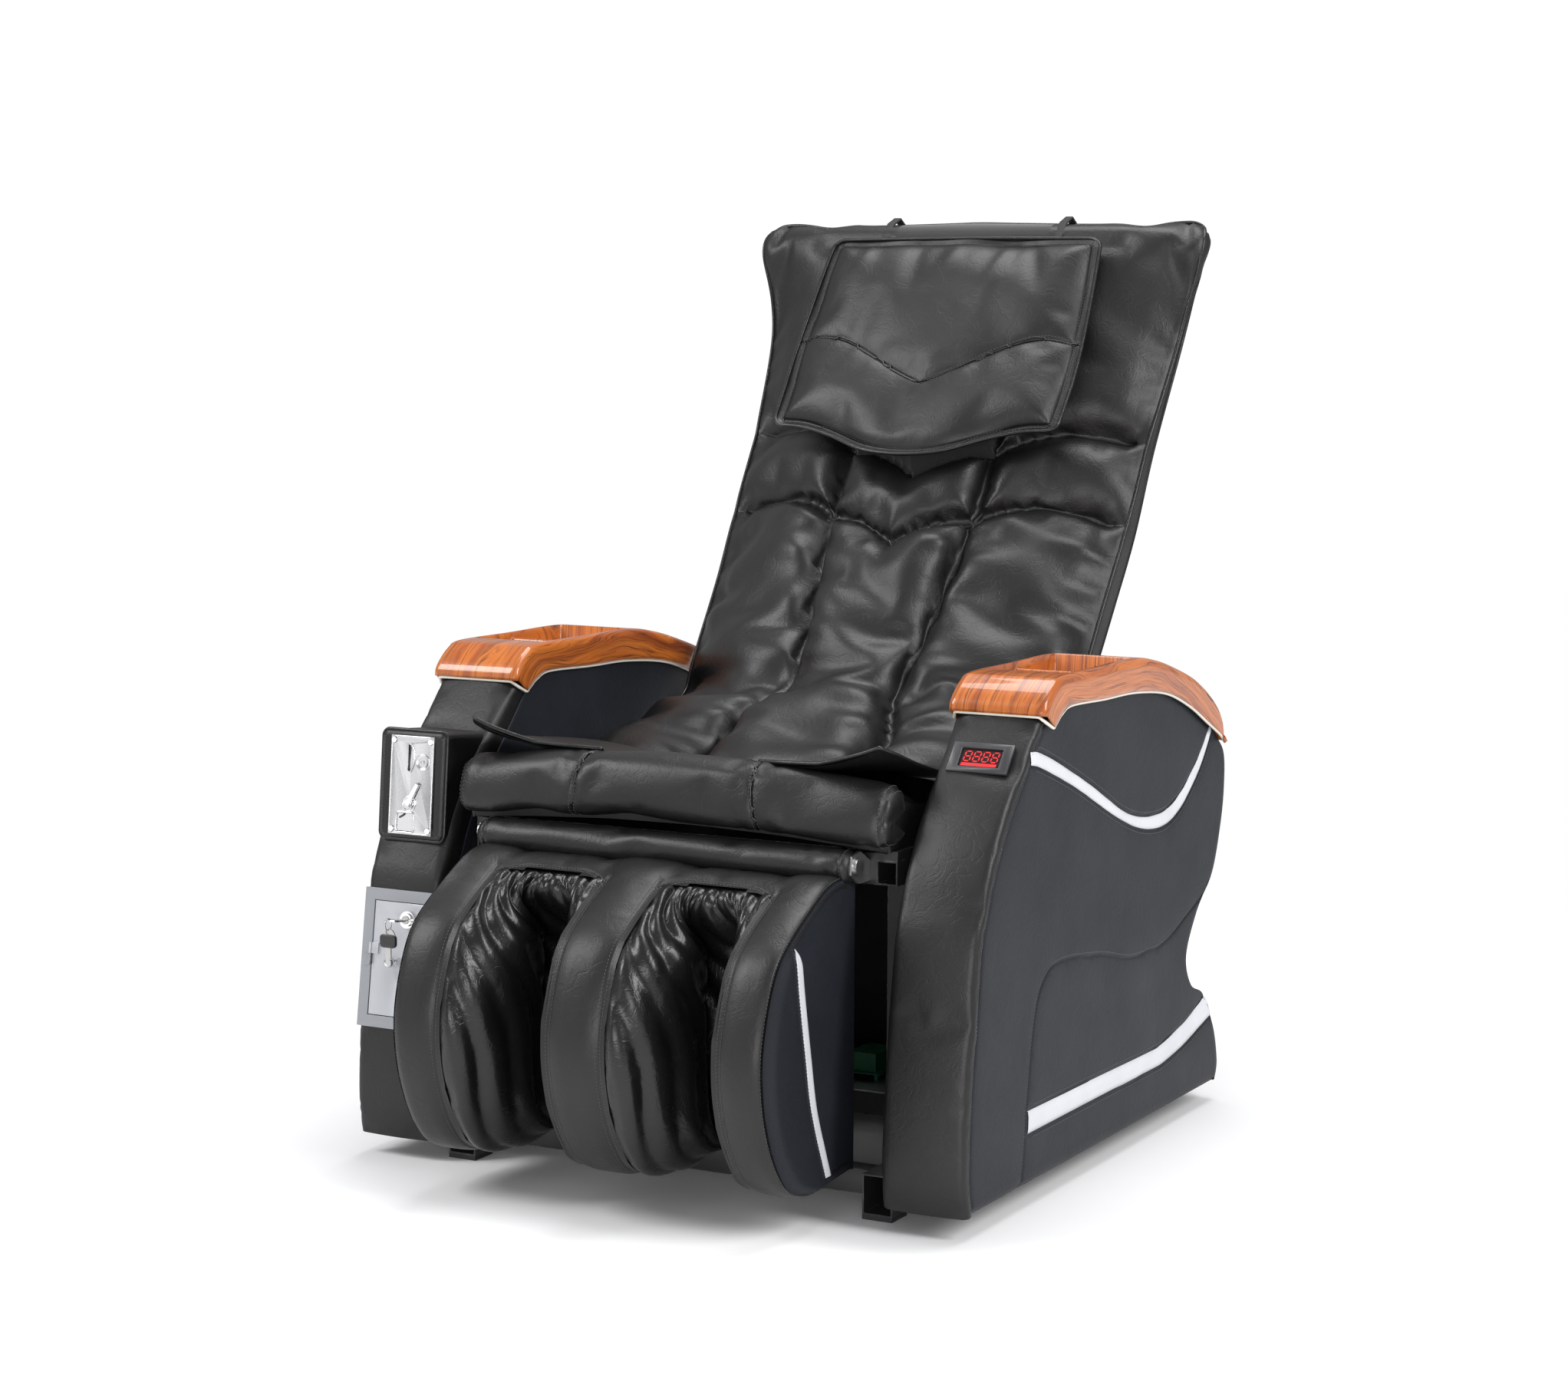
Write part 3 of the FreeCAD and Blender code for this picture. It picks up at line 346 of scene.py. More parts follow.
def cloth(points, faces, pinned, pressure, growth, cap, bending=2.0, frames=18):
    """Simulates a cover that is a little too large for its seams. Points move by up to cap millimetres."""
    obj = make("cloth", points, faces, bpy.data.materials[0])
    group = obj.vertex_groups.new(name="seams")
    group.add(np.nonzero(pinned)[0].tolist(), 1.0, "REPLACE")
    modifier = obj.modifiers.new("cloth", "CLOTH")
    settings = modifier.settings
    settings.vertex_group_mass = "seams"
    settings.quality = 5
    settings.bending_stiffness = bending
    settings.use_pressure = True
    settings.uniform_pressure_force = pressure
    settings.shrink_min = -growth
    settings.effector_weights.gravity = 0
    modifier.collision_settings.use_collision = False
    modifier.point_cache.frame_start, modifier.point_cache.frame_end = 1, frames
    scene = bpy.context.scene
    for number in range(1, frames + 1):
        scene.frame_set(number)
    shape = obj.evaluated_get(bpy.context.evaluated_depsgraph_get()).data
    moved = np.array([v.co for v in shape.vertices]) / MM
    bpy.data.objects.remove(obj)
    scene.frame_set(1)
    shift = moved - points
    size = np.maximum(np.linalg.norm(shift, axis=1), TINY)
    return points + shift * (cap * np.tanh(size / cap) / size)[:, None]


def cover(name, material, us, vs, place, seams, depth, pins=None, keep=None, puff=None, sim=None, passes=2,
        crease=1.8, soft=16.0, groove=1.6, ease=None):
    """A padded cover over a pattern: puffed by simulation, then creased along its seams.
    place maps pattern points onto the unpuffed shape, and keep says which pattern faces there are."""
    coarse = np.array([(u, v) for v in vs for u in us])
    solid = place(coarse)
    if puff is not None:
        solid = solid + normals_of(place, coarse) * puff(coarse)[:, None]
    if sim:
        pinned = distance(coarse, pins if pins is not None else seams) < 0.95 * (us[1] - us[0])
        rim = np.any((coarse <= [us[0], vs[0]]) | (coarse >= [us[-1], vs[-1]]), axis=1)
        solid = cloth(solid, grid_faces(len(vs), len(us)), pinned | rim, **sim)
    field = solid.reshape(len(vs), len(us), 3)
    points, faces = pattern(us, vs, seams, passes)
    if keep is not None:
        middles = np.array([points[f].mean(axis=0) for f in faces])
        faces = [f for f, kept in zip(faces, keep(middles)) if kept]
    d = distance(points, seams) if seams else np.full(len(points), 1e3)
    drop = depth * np.exp(-d / soft) + crease * np.exp(-(d / groove) ** 2)
    if ease is not None:
        drop = drop * ease(points)
    surface = sample(field, us, vs, points)
    normal = normals_of(lambda p: sample(field, us, vs, p), points)
    surface = surface - normal * drop[:, None]
    return make(name, surface, faces, material, uv=points)


def sample_line(obj, place, line, away=0.0):
    """A pattern line on a finished cover."""
    return onto(obj, place(np.asarray(line, float)), away)


def soften(node, name, width, body, slot, material, angle=30, segments=3):
    """A copy of a CAD node with rounded edges, which stands for it."""
    bm = bmesh.new()
    bm.from_mesh(NODES[node].data)
    bmesh.ops.remove_doubles(bm, verts=bm.verts, dist=1e-5)
    bmesh.ops.dissolve_limit(bm, angle_limit=math.radians(1), verts=bm.verts, edges=bm.edges)
    mesh = bpy.data.meshes.new(name)
    bm.to_mesh(mesh)
    bm.free()
    obj = placed(name, mesh)
    mesh.materials.clear()
    mesh.materials.append(material)
    bevel = obj.modifiers.new("bevel", "BEVEL")
    bevel.width = width * MM
    bevel.segments = segments
    bevel.limit_method = "ANGLE"
    bevel.angle_limit = math.radians(angle)
    bevel.harden_normals = True
    obj.data.shade_smooth()
    apply_modifiers(obj)
    return settle(obj, body, slot, node)


def apply_modifiers(obj):
    shape = bpy.data.meshes.new_from_object(obj.evaluated_get(bpy.context.evaluated_depsgraph_get()))
    obj.modifiers.clear()
    obj.data = shape
    return obj


# ---------------------------------------------------------------- materials
class Surface:
    """A Principled material and the nodes that feed it."""

    def __init__(self, name, **values):
        self.material = bpy.data.materials.new(name)
        self.material.use_nodes = True
        self.tree = self.material.node_tree
        self.shader = self.tree.nodes["Principled BSDF"]
        for key, value in values.items():
            self.shader.inputs[key.replace("_", " ")].default_value = value

    def node(self, kind, **values):
        """A node with some inputs set or linked, and some properties set."""
        node = self.tree.nodes.new("ShaderNode" + kind)
        for key, value in values.items():
            socket = node.inputs.get(key.replace("_", " "))
            if socket is None:
                setattr(node, key, value)
            else:
                self.feed(socket, value)
        return node

    def feed(self, socket, value):
        if isinstance(value, bpy.types.NodeSocket):
            self.tree.links.new(value, socket)
        else:
            socket.default_value = value

    def place(self, scale=(1, 1, 1), uv=False, turn=(0, 0, 0)):
        """Coordinates in metres, stretched."""
        source = self.node("TexCoord").outputs["UV" if uv else "Object"]
        return self.node("Mapping", Vector=source, Scale=scale, Rotation=turn).outputs["Vector"]

    def noise(self, scale, detail=3.0, vector=None, rough=0.5, distort=0.0):
        vector = vector or self.place()
        return self.node("TexNoise", Vector=vector, Scale=scale, Detail=detail, Roughness=rough,
            Distortion=distort).outputs["Fac"]

    def ramp(self, value, *stops):
        """Stops are a place and a colour or a grey."""
        node = self.node("ValToRGB", Fac=value)
        bar = node.color_ramp
        while len(bar.elements) < len(stops):
            bar.elements.new(0.5)
        for element, (at, shade) in zip(bar.elements, stops):
            element.position = at
            element.color = (*shade, 1) if isinstance(shade, tuple) else (shade, shade, shade, 1)
        return node.outputs["Color"]

    def math(self, operation, a, b):
        node = self.node("Math", operation=operation)
        for socket, value in zip(node.inputs, (a, b)):
            self.feed(socket, value)
        return node.outputs[0]

    def mix(self, share, a, b):
        node = self.node("MixRGB", blend_type="MIX")
        for socket, value in zip(node.inputs, (share, a, b)):
            self.feed(socket, (*value, 1) if isinstance(value, tuple) else value)
        return node.outputs[0]

    def uneven_roughness(self, height, amount, low):
        return self.link(self.math("ADD", self.math("MULTIPLY", height, amount), low), "Roughness")

    def edges(self, radius, low, high):
        """Where a surface turns sharply, as a share from 0 to 1."""
        bevel = self.node("Bevel", Radius=radius, samples=4).outputs["Normal"]
        true = self.node("NewGeometry").outputs["Normal"]
        dot = self.node("VectorMath", operation="DOT_PRODUCT")
        self.tree.links.new(bevel, dot.inputs[0])
        self.tree.links.new(true, dot.inputs[1])
        return self.ramp(self.math("SUBTRACT", 1.0, dot.outputs["Value"]), (low, 0.0), (high, 1.0))

    def link(self, value, socket):
        self.tree.links.new(value, self.shader.inputs[socket])
        return self

    def bump(self, *layers):
        """Layers are a height, its depth in metres and its strength."""
        normal = None
        for height, depth, strength in layers:
            node = self.node("Bump", Height=height, Distance=depth, Strength=strength)
            if normal:
                self.tree.links.new(normal, node.inputs["Normal"])
            normal = node.outputs["Normal"]
        return self.link(normal, "Normal")


def scaled(colour, by):
    return tuple(by * c for c in colour)


def leather(name, dark, light, rough, grain=0.00012, creases=0.0006, shine=0.40):
    """Coated leather: pebbled grain, fine creases, an uneven sheen and paler worn patches."""
    s = Surface(name, Specular_IOR_Level=shine, Coat_Weight=0.06, Coat_Roughness=0.3)
    pebbles = s.node("TexVoronoi", Vector=s.place(), Scale=620.0, Randomness=1.0).outputs["Distance"]
    small = s.node("TexVoronoi", Vector=s.place(), Scale=1150.0).outputs["Distance"]
    crease = s.ramp(s.noise(34.0, 5.0, distort=1.2), (0.44, 1.0), (0.5, 0.0), (0.56, 1.0))
    patches = s.noise(5.0, 4.0)
    worn = s.ramp(s.noise(2.6, 6.0, rough=0.65), (0.55, 0.0), (0.75, 1.0))
    colour = s.mix(s.ramp(patches, (0.3, 0.0), (0.7, 1.0)), dark, light)
    colour = s.mix(s.math("MULTIPLY", worn, 0.3), colour, scaled(light, 1.9))
    colour = s.mix(s.math("MULTIPLY", s.ramp(pebbles, (0.0, 1.0), (0.5, 0.0)), 0.16), colour, (0.0, 0.0, 0.0))
    s.link(colour, "Base Color")
    s.uneven_roughness(s.noise(11.0, 3.0), 0.16, rough - 0.08)
    s.bump((pebbles, grain, 0.75), (small, grain * 0.6, 0.5), (crease, creases, 0.22),
        (s.noise(16.0, 2.0), 0.004, 0.14))
    return s.material


def wood():
    """Glossy printed wood grain, which follows the pattern's length."""
    s = Surface("wood_grain", Coat_Weight=0.55, Coat_Roughness=0.05, Specular_IOR_Level=0.35)
    bend = s.node("TexNoise", Vector=s.place((9, 2.2, 1), uv=True), Scale=1.0, Detail=3.0).outputs["Fac"]
    lines = s.place((150, 3.0, 1), uv=True)
    wavy = s.node("VectorMath", operation="ADD").outputs["Vector"]
    shifter = wavy.node
    s.tree.links.new(lines, shifter.inputs[0])
    s.tree.links.new(s.node("CombineXYZ", X=s.math("MULTIPLY", bend, 17.0)).outputs["Vector"],
        shifter.inputs[1])
    broad = s.node("TexNoise", Vector=wavy, Scale=0.5, Detail=4.0, Roughness=0.62).outputs["Fac"]
    fine = s.node("TexNoise", Vector=wavy, Scale=2.4, Detail=6.0, Roughness=0.7).outputs["Fac"]
    dark = s.ramp(fine, (0.36, 1.0), (0.5, 0.0))
    colour = s.ramp(broad, (0.28, (0.13, 0.024, 0.005)), (0.42, (0.34, 0.078, 0.012)),
        (0.55, (0.50, 0.138, 0.018)), (0.72, (0.28, 0.058, 0.010)))
    colour = s.mix(s.math("MULTIPLY", dark, 0.85), colour, (0.045, 0.009, 0.004))
    pits = s.node("TexNoise", Vector=s.place((900, 26, 1), uv=True), Scale=1.0, Detail=2.0).outputs["Fac"]
    pores = s.ramp(pits, (0.30, 1.0), (0.38, 0.0))
    colour = s.mix(s.math("MULTIPLY", pores, 0.5), colour, (0.05, 0.012, 0.005))
    s.link(colour, "Base Color")
    s.link(s.ramp(fine, (0.3, 0.42), (0.7, 0.27)), "Roughness")
    s.bump((s.noise(70.0, 2.0), 0.0004, 0.06))
    return s.material


def plastic(name, colour, rough, texture=0.00005, coat=0.0):
    """Moulded plastic: a fine spark-eroded texture, faint flow marks and a scuffed sheen."""
    s = Surface(name, Coat_Weight=coat, Coat_Roughness=0.08)
    flow = s.noise(9.0, 5.0, distort=0.8)
    s.link(s.mix(flow, scaled(colour, 0.82), scaled(colour, 1.14)), "Base Color")
    s.uneven_roughness(s.noise(60.0, 4.0), 0.14, rough - 0.07)
    s.bump((s.noise(1800.0, 2.0), texture, 0.6), (flow, 0.002, 0.03))
    return s.material


def metal(name, colour, rough, brushed=(1, 1, 1), marks=0.12, wear=0.25):
    """Metal: brushed or cast texture, smudges and brighter edges."""
    s = Surface(name, Metallic=1.0)
    brush = s.noise(420.0, 4.0, vector=s.place(brushed))
    smudge = s.noise(24.0, 4.0, distort=0.6)
    ridge = s.edges(0.0008, 0.02, 0.2)
    base = s.mix(smudge, scaled(colour, 0.84), colour)
    s.link(s.mix(s.math("MULTIPLY", ridge, wear), base, (0.9, 0.9, 0.9)), "Base Color")
    spread_out = s.math("ADD", s.math("MULTIPLY", brush, marks), s.math("MULTIPLY", smudge, marks))
    s.link(s.math("ADD", spread_out, rough - marks), "Roughness")
    s.bump((brush, 0.00006, 0.35))
    return s.material


def paint(name, colour, rough, metallic=0.0, peel=0.00012, chips=(0.45, 0.45, 0.46)):
    """Powder coat or enamel: orange peel, faint dirt and chips on the edges."""
    s = Surface(name, Metallic=metallic, Coat_Weight=0.25, Coat_Roughness=0.2)
    dirt = s.noise(14.0, 5.0)
    edge = s.edges(0.0009, 0.03, 0.2)
    patchy = s.math("MULTIPLY", edge, s.ramp(s.noise(90.0, 3.0), (0.5, 0.0), (0.6, 1.0)))
    base = s.mix(dirt, scaled(colour, 0.86), scaled(colour, 1.08))
    s.link(s.mix(s.math("MULTIPLY", patchy, 0.6), base, chips), "Base Color")
    s.uneven_roughness(dirt, 0.12, rough - 0.06)
    s.bump((s.noise(520.0, 2.0), peel, 0.5))
    return s.material


def fabric(name, colour, rough=0.85, threads=1500.0):
    """Plain-woven cloth."""
    s = Surface(name, Sheen_Weight=0.3, Sheen_Roughness=0.5)
    warp, weft = [s.node("TexWave", Vector=s.place(), Scale=threads / 6, wave_type="BANDS",
        bands_direction=axis, Distortion=0.4).outputs["Fac"] for axis in "XZ"]
    cross = s.math("MULTIPLY", warp, weft)
    s.link(s.mix(s.noise(40.0, 3.0), scaled(colour, 0.7), colour), "Base Color")
    s.shader.inputs["Roughness"].default_value = rough
    s.bump((cross, 0.0003, 0.5), (s.noise(120.0, 3.0), 0.0005, 0.2))
    return s.material


def reflective():
    """White reflective tape: a fine bead texture with faint creases."""
    s = Surface("reflective_stripe", Specular_IOR_Level=0.6, Coat_Weight=0.15, Coat_Roughness=0.3)
    beads = s.node("TexVoronoi", Vector=s.place(), Scale=1500.0).outputs["Distance"]
    tint = s.mix(s.noise(20.0, 4.0), (0.52, 0.53, 0.56), (0.66, 0.67, 0.70))
    s.link(tint, "Base Color")
    s.uneven_roughness(beads, 0.2, 0.34)
    s.bump((beads, 0.00008, 0.6), (s.noise(120.0, 3.0), 0.0003, 0.12))
    return s.material


def glowing(name, colour, strength):
    """A lit display segment, a little uneven."""
    s = Surface(name, Roughness=0.4)
    cells = s.noise(900.0, 2.0)
    s.link(s.mix(cells, scaled(colour, 0.7), colour), "Base Color")
    s.link(s.mix(cells, scaled(colour, 0.75), colour), "Emission Color")
    s.shader.inputs["Emission Strength"].default_value = strength
    return s.material


INK, SOOT = (0.004, 0.004, 0.0045), (0.008, 0.008, 0.0085)
LEATHER = leather("black_leather", (0.0040, 0.0040, 0.0044), (0.0080, 0.0077, 0.0080), 0.44)
SIDE_LEATHER = leather("side_leather", (0.0090, 0.0105, 0.0145), (0.013, 0.0150, 0.0200), 0.54,
    grain=0.00016, shine=0.2)
SOFT_LEATHER = leather("gathered_leather", INK, SOOT, 0.27, creases=0.0009)
PIPING = leather("piping", INK, SOOT, 0.30)
THREAD = fabric("thread", (0.05, 0.05, 0.055), 0.6, 4000.0)
MATT_CLOTH = fabric("matt_black_cloth", (0.012, 0.012, 0.013), 0.9)
STRIPE = reflective()
WOOD = wood()
IVORY = plastic("ivory_liner", (0.72, 0.68, 0.60), 0.32, coat=0.4)
DIGITS = glowing("display_digits", (0.70, 0.006, 0.010), 0.34)
FINISHES = {
    "frame_steel": paint("frame_steel", (0.014, 0.014, 0.015), 0.42),
    "zinc_steel": metal("zinc_steel", (0.58, 0.58, 0.57), 0.36, (1, 1, 3)),
    "bright_steel": metal("bright_steel", (0.66, 0.66, 0.67), 0.27, (9, 1, 1)),
    "chrome": metal("chrome", (0.82, 0.82, 0.83), 0.12, marks=0.06),
    "black_leather": LEATHER,
    "side_leather": SIDE_LEATHER,
    "cushion": LEATHER,
    "wood_grain": WOOD,
    "black_plastic": plastic("black_plastic", (0.022, 0.022, 0.024), 0.46, 0.00009),
    "dark_gloss": plastic("dark_gloss", (0.03, 0.03, 0.033), 0.36, coat=0.1),
    "red_window": plastic("red_window", (0.012, 0.003, 0.004), 0.16, 0.00001, coat=0.4),
    "door_grey": paint("door_grey", (0.27, 0.28, 0.30), 0.42, 0.35),
    "door_light": paint("door_light", (0.46, 0.47, 0.50), 0.38, 0.45),
    "rubber": plastic("rubber", (0.017, 0.017, 0.018), 0.78, 0.00015),
    "roller_tan": plastic("roller_tan", (0.46, 0.29, 0.15), 0.55, 0.0001),
    "circuit_green": plastic("circuit_green", (0.01, 0.13, 0.05), 0.4, 0.00004, coat=0.3),
    "airbag_cloth": fabric("airbag_cloth", (0.03, 0.03, 0.032)),
    "grey_plastic": plastic("grey_plastic", (0.17, 0.17, 0.18), 0.5, 0.00008),
}
for part in frame["record"]["subparts"]:
    mesh = NODES[part["node"]].data
    mesh.materials.clear()
    mesh.materials.append(FINISHES[part["material_slot"]])


# ---------------------------------------------------------------- camera, floor and lights
def camera():
    """The camera stands to the chair's left front, a little above the arms."""
    data = bpy.data.cameras.new("camera")
    data.sensor_width, data.lens = 36, 75.65
    obj = placed("camera", data)
    turn, dip, roll = math.radians(28.24), math.radians(6.71), math.radians(0.23)
    back = Vector((math.sin(turn) * math.cos(dip), -math.cos(turn) * math.cos(dip), math.sin(dip)))
    right = Vector((math.cos(turn), math.sin(turn), 0))
    up = back.cross(right)
    right, up = right * math.cos(roll) + up * math.sin(roll), up * math.cos(roll) - right * math.sin(roll)
    rows = Matrix((right, up, back)).transposed().to_4x4()
    rows.translation = (2.020, -3.836, 1.091)
    obj.matrix_world = rows
    bpy.context.scene.camera = obj


def area_light(name, at, toward, size, power):
    data = bpy.data.lights.new(name, "AREA")
    data.shape, data.size, data.size_y = "RECTANGLE", size[0], size[1]
    data.energy = power
    obj = placed(name, data)
    obj.location = at
    obj.rotation_euler = (Vector(toward) - Vector(at)).to_track_quat("-Z", "Y").to_euler()


def studio():
    """A white sweep under soft boxes. Far from the chair the floor fades into the white background."""
    floor = Surface("floor", Roughness=0.7, Specular_IOR_Level=0.1)
    floor.link(floor.mix(floor.noise(3.0, 2.0), (0.90, 0.90, 0.905), (0.92, 0.92, 0.92)), "Base Color")
    far = floor.node("VectorMath", operation="LENGTH", Vector=floor.place()).outputs["Value"]
    glow = floor.node("Emission", Color=(1.0, 1.0, 1.0, 1.0), Strength=1.0)
    blend = floor.node("MixShader", Fac=floor.ramp(floor.math("DIVIDE", far, 4.0), (0.22, 0.0), (0.55, 1.0)))
    floor.tree.links.new(floor.shader.outputs[0], blend.inputs[1])
    floor.tree.links.new(glow.outputs[0], blend.inputs[2])
    floor.tree.links.new(blend.outputs[0], floor.tree.nodes["Material Output"].inputs["Surface"])
    ground = make("floor", [(-9e3, -9e3, 0), (9e3, -9e3, 0), (9e3, 9e3, 0), (-9e3, 9e3, 0)], [[0, 1, 2, 3]],
        floor.material)
    world = bpy.data.worlds.new("studio")
    world.use_nodes = True
    nodes, links = world.node_tree.nodes, world.node_tree.links
    nodes["Background"].inputs["Color"].default_value = (0.97, 0.98, 1.0, 1)
    seen = nodes.new("ShaderNodeLightPath").outputs["Is Camera Ray"]
    strength = nodes.new("ShaderNodeMapRange")
    strength.inputs["To Min"].default_value = 0.43
    strength.inputs["To Max"].default_value = 1.05
    links.new(seen, strength.inputs["Value"])
    links.new(strength.outputs["Result"], nodes["Background"].inputs["Strength"])
    bpy.context.scene.world = world
    area_light("key", (-2.6, -2.2, 3.2), (0, 0, 0.6), (1.2, 2.2), 108)
    area_light("fill", (3.4, -0.6, 2.6), (0.2, 0, 0.5), (1.0, 2.4), 110)
    area_light("top", (0.1, 0.6, 3.8), (0, 0, 0.6), (2.6, 1.4), 85)
    area_light("card", (-3.2, -4.2, 0.9), (-0.3, -0.4, 0.5), (2.0, 1.6), 11)
    area_light("low", (1.5, -4.6, 0.8), (0.1, -0.3, 0.3), (3.0, 1.2), 80)
    bpy.context.scene.view_settings.view_transform = "Standard"


camera()
studio()


# ---------------------------------------------------------------- back and seat cover
SLOPE = math.radians(31)
PIVOT = np.array([90.0, 455.0])
ROLL_START, ROLL, WALL_END, FLAP_END = 320, 16, 392, 448


def along_back(height, level):
    """A place in the back's own frame as y, z."""
    return (PIVOT[0] + height * math.sin(SLOPE) - level * math.cos(SLOPE),
        PIVOT[1] + height * math.cos(SLOPE) + level * math.sin(SLOPE))


# rows from the seat's front to the back's top and over it: middle y, z, edge y, z, half width, side wall
SEAT_ROWS = [(-345, 524, -345, 512, 298, 66), (-270, 503, -270, 496, 300, 50),
    (-160, 499, -160, 495, 302, 48), (-68, 517, -60, 504, 302, 52), (-12, 541, 6, 516, 302, 50),
    (34, 568, 70, 530, 300, 34)]
BACK_ROWS = [(118, 80, -18, 300, 14), (157, 76, -24, 303, 20), (208, 63, -28, 305, 28),
    (314, 58, -34, 307, 32), (420, 48, -36, 312, 30), (547, 37, -36, 314, 22), (700, 34, -30, 326, 10),
    (780, 33, -4, 340, 6), (812, 31, 12, 344, 5), (838, 28, 18, 345, 5), (853, 21, 16, 342, 4),
    (862, 12, 10, 336, 3), (867, 0, 0, 328, 3), (862, -14, -12, 321, 3), (846, -30, -26, 315, 3),
    (812, -44, -36, 312, 3)]
rows = list(SEAT_ROWS)
for height, middle, edge, half, wall in BACK_ROWS:
    rows.append((*along_back(height, middle), *along_back(height, edge), half, wall))
cover_rows = curve(rows, 400)
cover_run = lengths(cover_rows[:, :2] * 0.6 + cover_rows[:, 2:4] * 0.4)
COVER_LONG = cover_run[-1]


def on_cover(points):
    """Pattern to padded shape: u runs across and round the side edges, v from the seat up the back."""
    u, v = np.abs(points[:, 0]), points[:, 1]
    my, mz, ey, ez, half, wall = look_up(v, cover_run, cover_rows)
    ahead = [b - a for a, b in zip(look_up(v - 6, cover_run, cover_rows),
        look_up(v + 6, cover_run, cover_rows))]
    share = clamp(u / ROLL_START)
    fall = clamp((share - 0.16) / 0.84) ** 1.45
    ty, tz = ahead[0] * (1 - fall) + ahead[2] * fall, ahead[1] * (1 - fall) + ahead[3] * fall
    size = np.maximum(np.hypot(ty, tz), TINY)
    ny, nz = -tz / size, ty / size
    turn = clamp((u - ROLL_START) / ROLL) * math.pi / 2
    down = clamp((u - ROLL_START - ROLL) / (WALL_END - ROLL_START - ROLL))
    under = clamp((u - WALL_END) / (FLAP_END - WALL_END))
    depth = 10 * (1 - np.cos(turn)) + wall * down + 4 * under
    x = (half - 10) * share + 10 * np.sin(turn) - 82 * under
    y = my + (ey - my) * fall - ny * depth
    z = mz + (ez - mz) * fall - nz * depth
    return columns(np.sign(points[:, 0]) * x, y, z)


def find(place, us, vs, targets):
    """The pattern points whose places are nearest to the targets."""
    spots = np.array([(u, v) for v in vs for u in us])
    there = place(spots)
    return np.array([spots[np.argmin(((there - np.asarray(t, float)) ** 2).sum(axis=1))] for t in targets])


search_u, search_v = np.linspace(0, ROLL_START, 81), np.linspace(0, COVER_LONG, 420)
COLUMN = [(119, -345, 524), (119, -160, 500), (118, -16, 530), (94, 46, 575), (88, 95, 614),
    (105, 262, 778), (110, 329, 887), (113, 420, 1040)]
column_seam = curve(find(on_cover, search_u, search_v, COLUMN), 90)
cross_levels = find(on_cover, search_u, search_v,
    [(110, 329, 887), (314, 404, 905), (106, 272, 793), (311, 339, 795)])[:, 1]
CHEVRON_DROP = [42, 44]


def seam_half(v):
    """Where the column seam is at a height of the pattern."""
    return np.interp(v, column_seam[:, 1], column_seam[:, 0])


cover_seams = [column_seam, column_seam * [-1, 1]]
chevrons = []
for number, drop in enumerate(CHEVRON_DROP):
    inner, outer = cross_levels[2 * number], cross_levels[2 * number + 1]
    across = np.linspace(0, 1, 14)
    half = seam_half(inner)
    chevron = columns(across * half, inner - drop * (1 - across) ** 2.0)
    whole_chevron = np.vstack([chevron[::-1] * [-1, 1], chevron[1:]])
    chevrons.append(whole_chevron)
    arch = columns(half + (ROLL_START - half) * across, inner + (outer - inner) * across
        + 26 * np.sin(math.pi * across ** 0.8))
    arch = np.vstack([arch, arch[-1] + [10, -1]])
    cover_seams += [whole_chevron, arch, arch * [-1, 1]]


# folds between the cross seams, from the side edges and from the seams themselves
LOW_CROSS, HIGH_CROSS = cross_levels[2:].mean(), cross_levels[:2].mean()
back_folds = []
for side in (-1, 1):
    outer_edge = np.array([(side * ROLL_START, 60), (side * ROLL_START, COVER_LONG - 260)], float)
    back_folds += puckers(column_seam * [side, 1], (40, LOW_CROSS - 10), 11 + side, 64, (70, 170), (15, 30),
        (3, 8))
    back_folds += puckers(outer_edge, (380, LOW_CROSS), 21 + side, 46, (50, 150), (12, 24), (3, 8), (side,),
        0.3)
    back_folds += puckers(outer_edge, (LOW_CROSS, COVER_LONG - 260), 31 + side, 70, (40, 120), (11, 24),
        (1.5, 4), (side,), 0.4)
    back_folds += puckers(column_seam * [side, 1], (LOW_CROSS, HIGH_CROSS), 41 + side, 40, (30, 70),
        (8, 16), (1, 3))
for number, line in enumerate(cover_seams[2:]):
    back_folds += puckers(line, (0, COVER_LONG), 51 + number, 52, (30, 85), (9, 18), (1, 3.5))


TOP_RUN = cover_run[np.argmax(cover_rows[:, 1])]
rising = cover_rows[:np.argmax(cover_rows[:, 1]), 1]
HINGE_RUN = np.interp(along_back(822, 31)[1], rising, cover_run[:len(rising)])


def cover_puff(points):
    """How far the stuffing stands up between the seams, with its folds and dents."""
    d = distance(points, cover_seams)
    inward = ROLL_START - np.abs(points[:, 0])
    edge = np.maximum(np.clip(inward, 0, 40) / 40, smoothstep((points[:, 1] - TOP_RUN + 110) / 80))
    d = d + 60 * (1 - smoothstep((inward + 14) / 34))
    plump = 17 * (1 - np.exp(-d / 30)) * (0.3 + 0.7 * edge) - 10
    loose = smoothstep((points[:, 1] - 30) / 120) * smoothstep((COVER_LONG - 120 - points[:, 1]) / 160)
    lower = 1 - 0.55 * smoothstep((points[:, 1] - LOW_CROSS + 60) / 160)
    soft = dents(points, 190, 7) * 4.2 + dents(points, 90, 8) * 1.2
    plump = plump - 9 * np.exp(-((points[:, 1] - HINGE_RUN) / 17) ** 2) * smoothstep((inward - 70) / 30)
    clear = smoothstep(np.minimum(d / 24, (inward + 6) / 30))
    return plump + loose * lower * (fold_height(points, back_folds) + soft) * clear


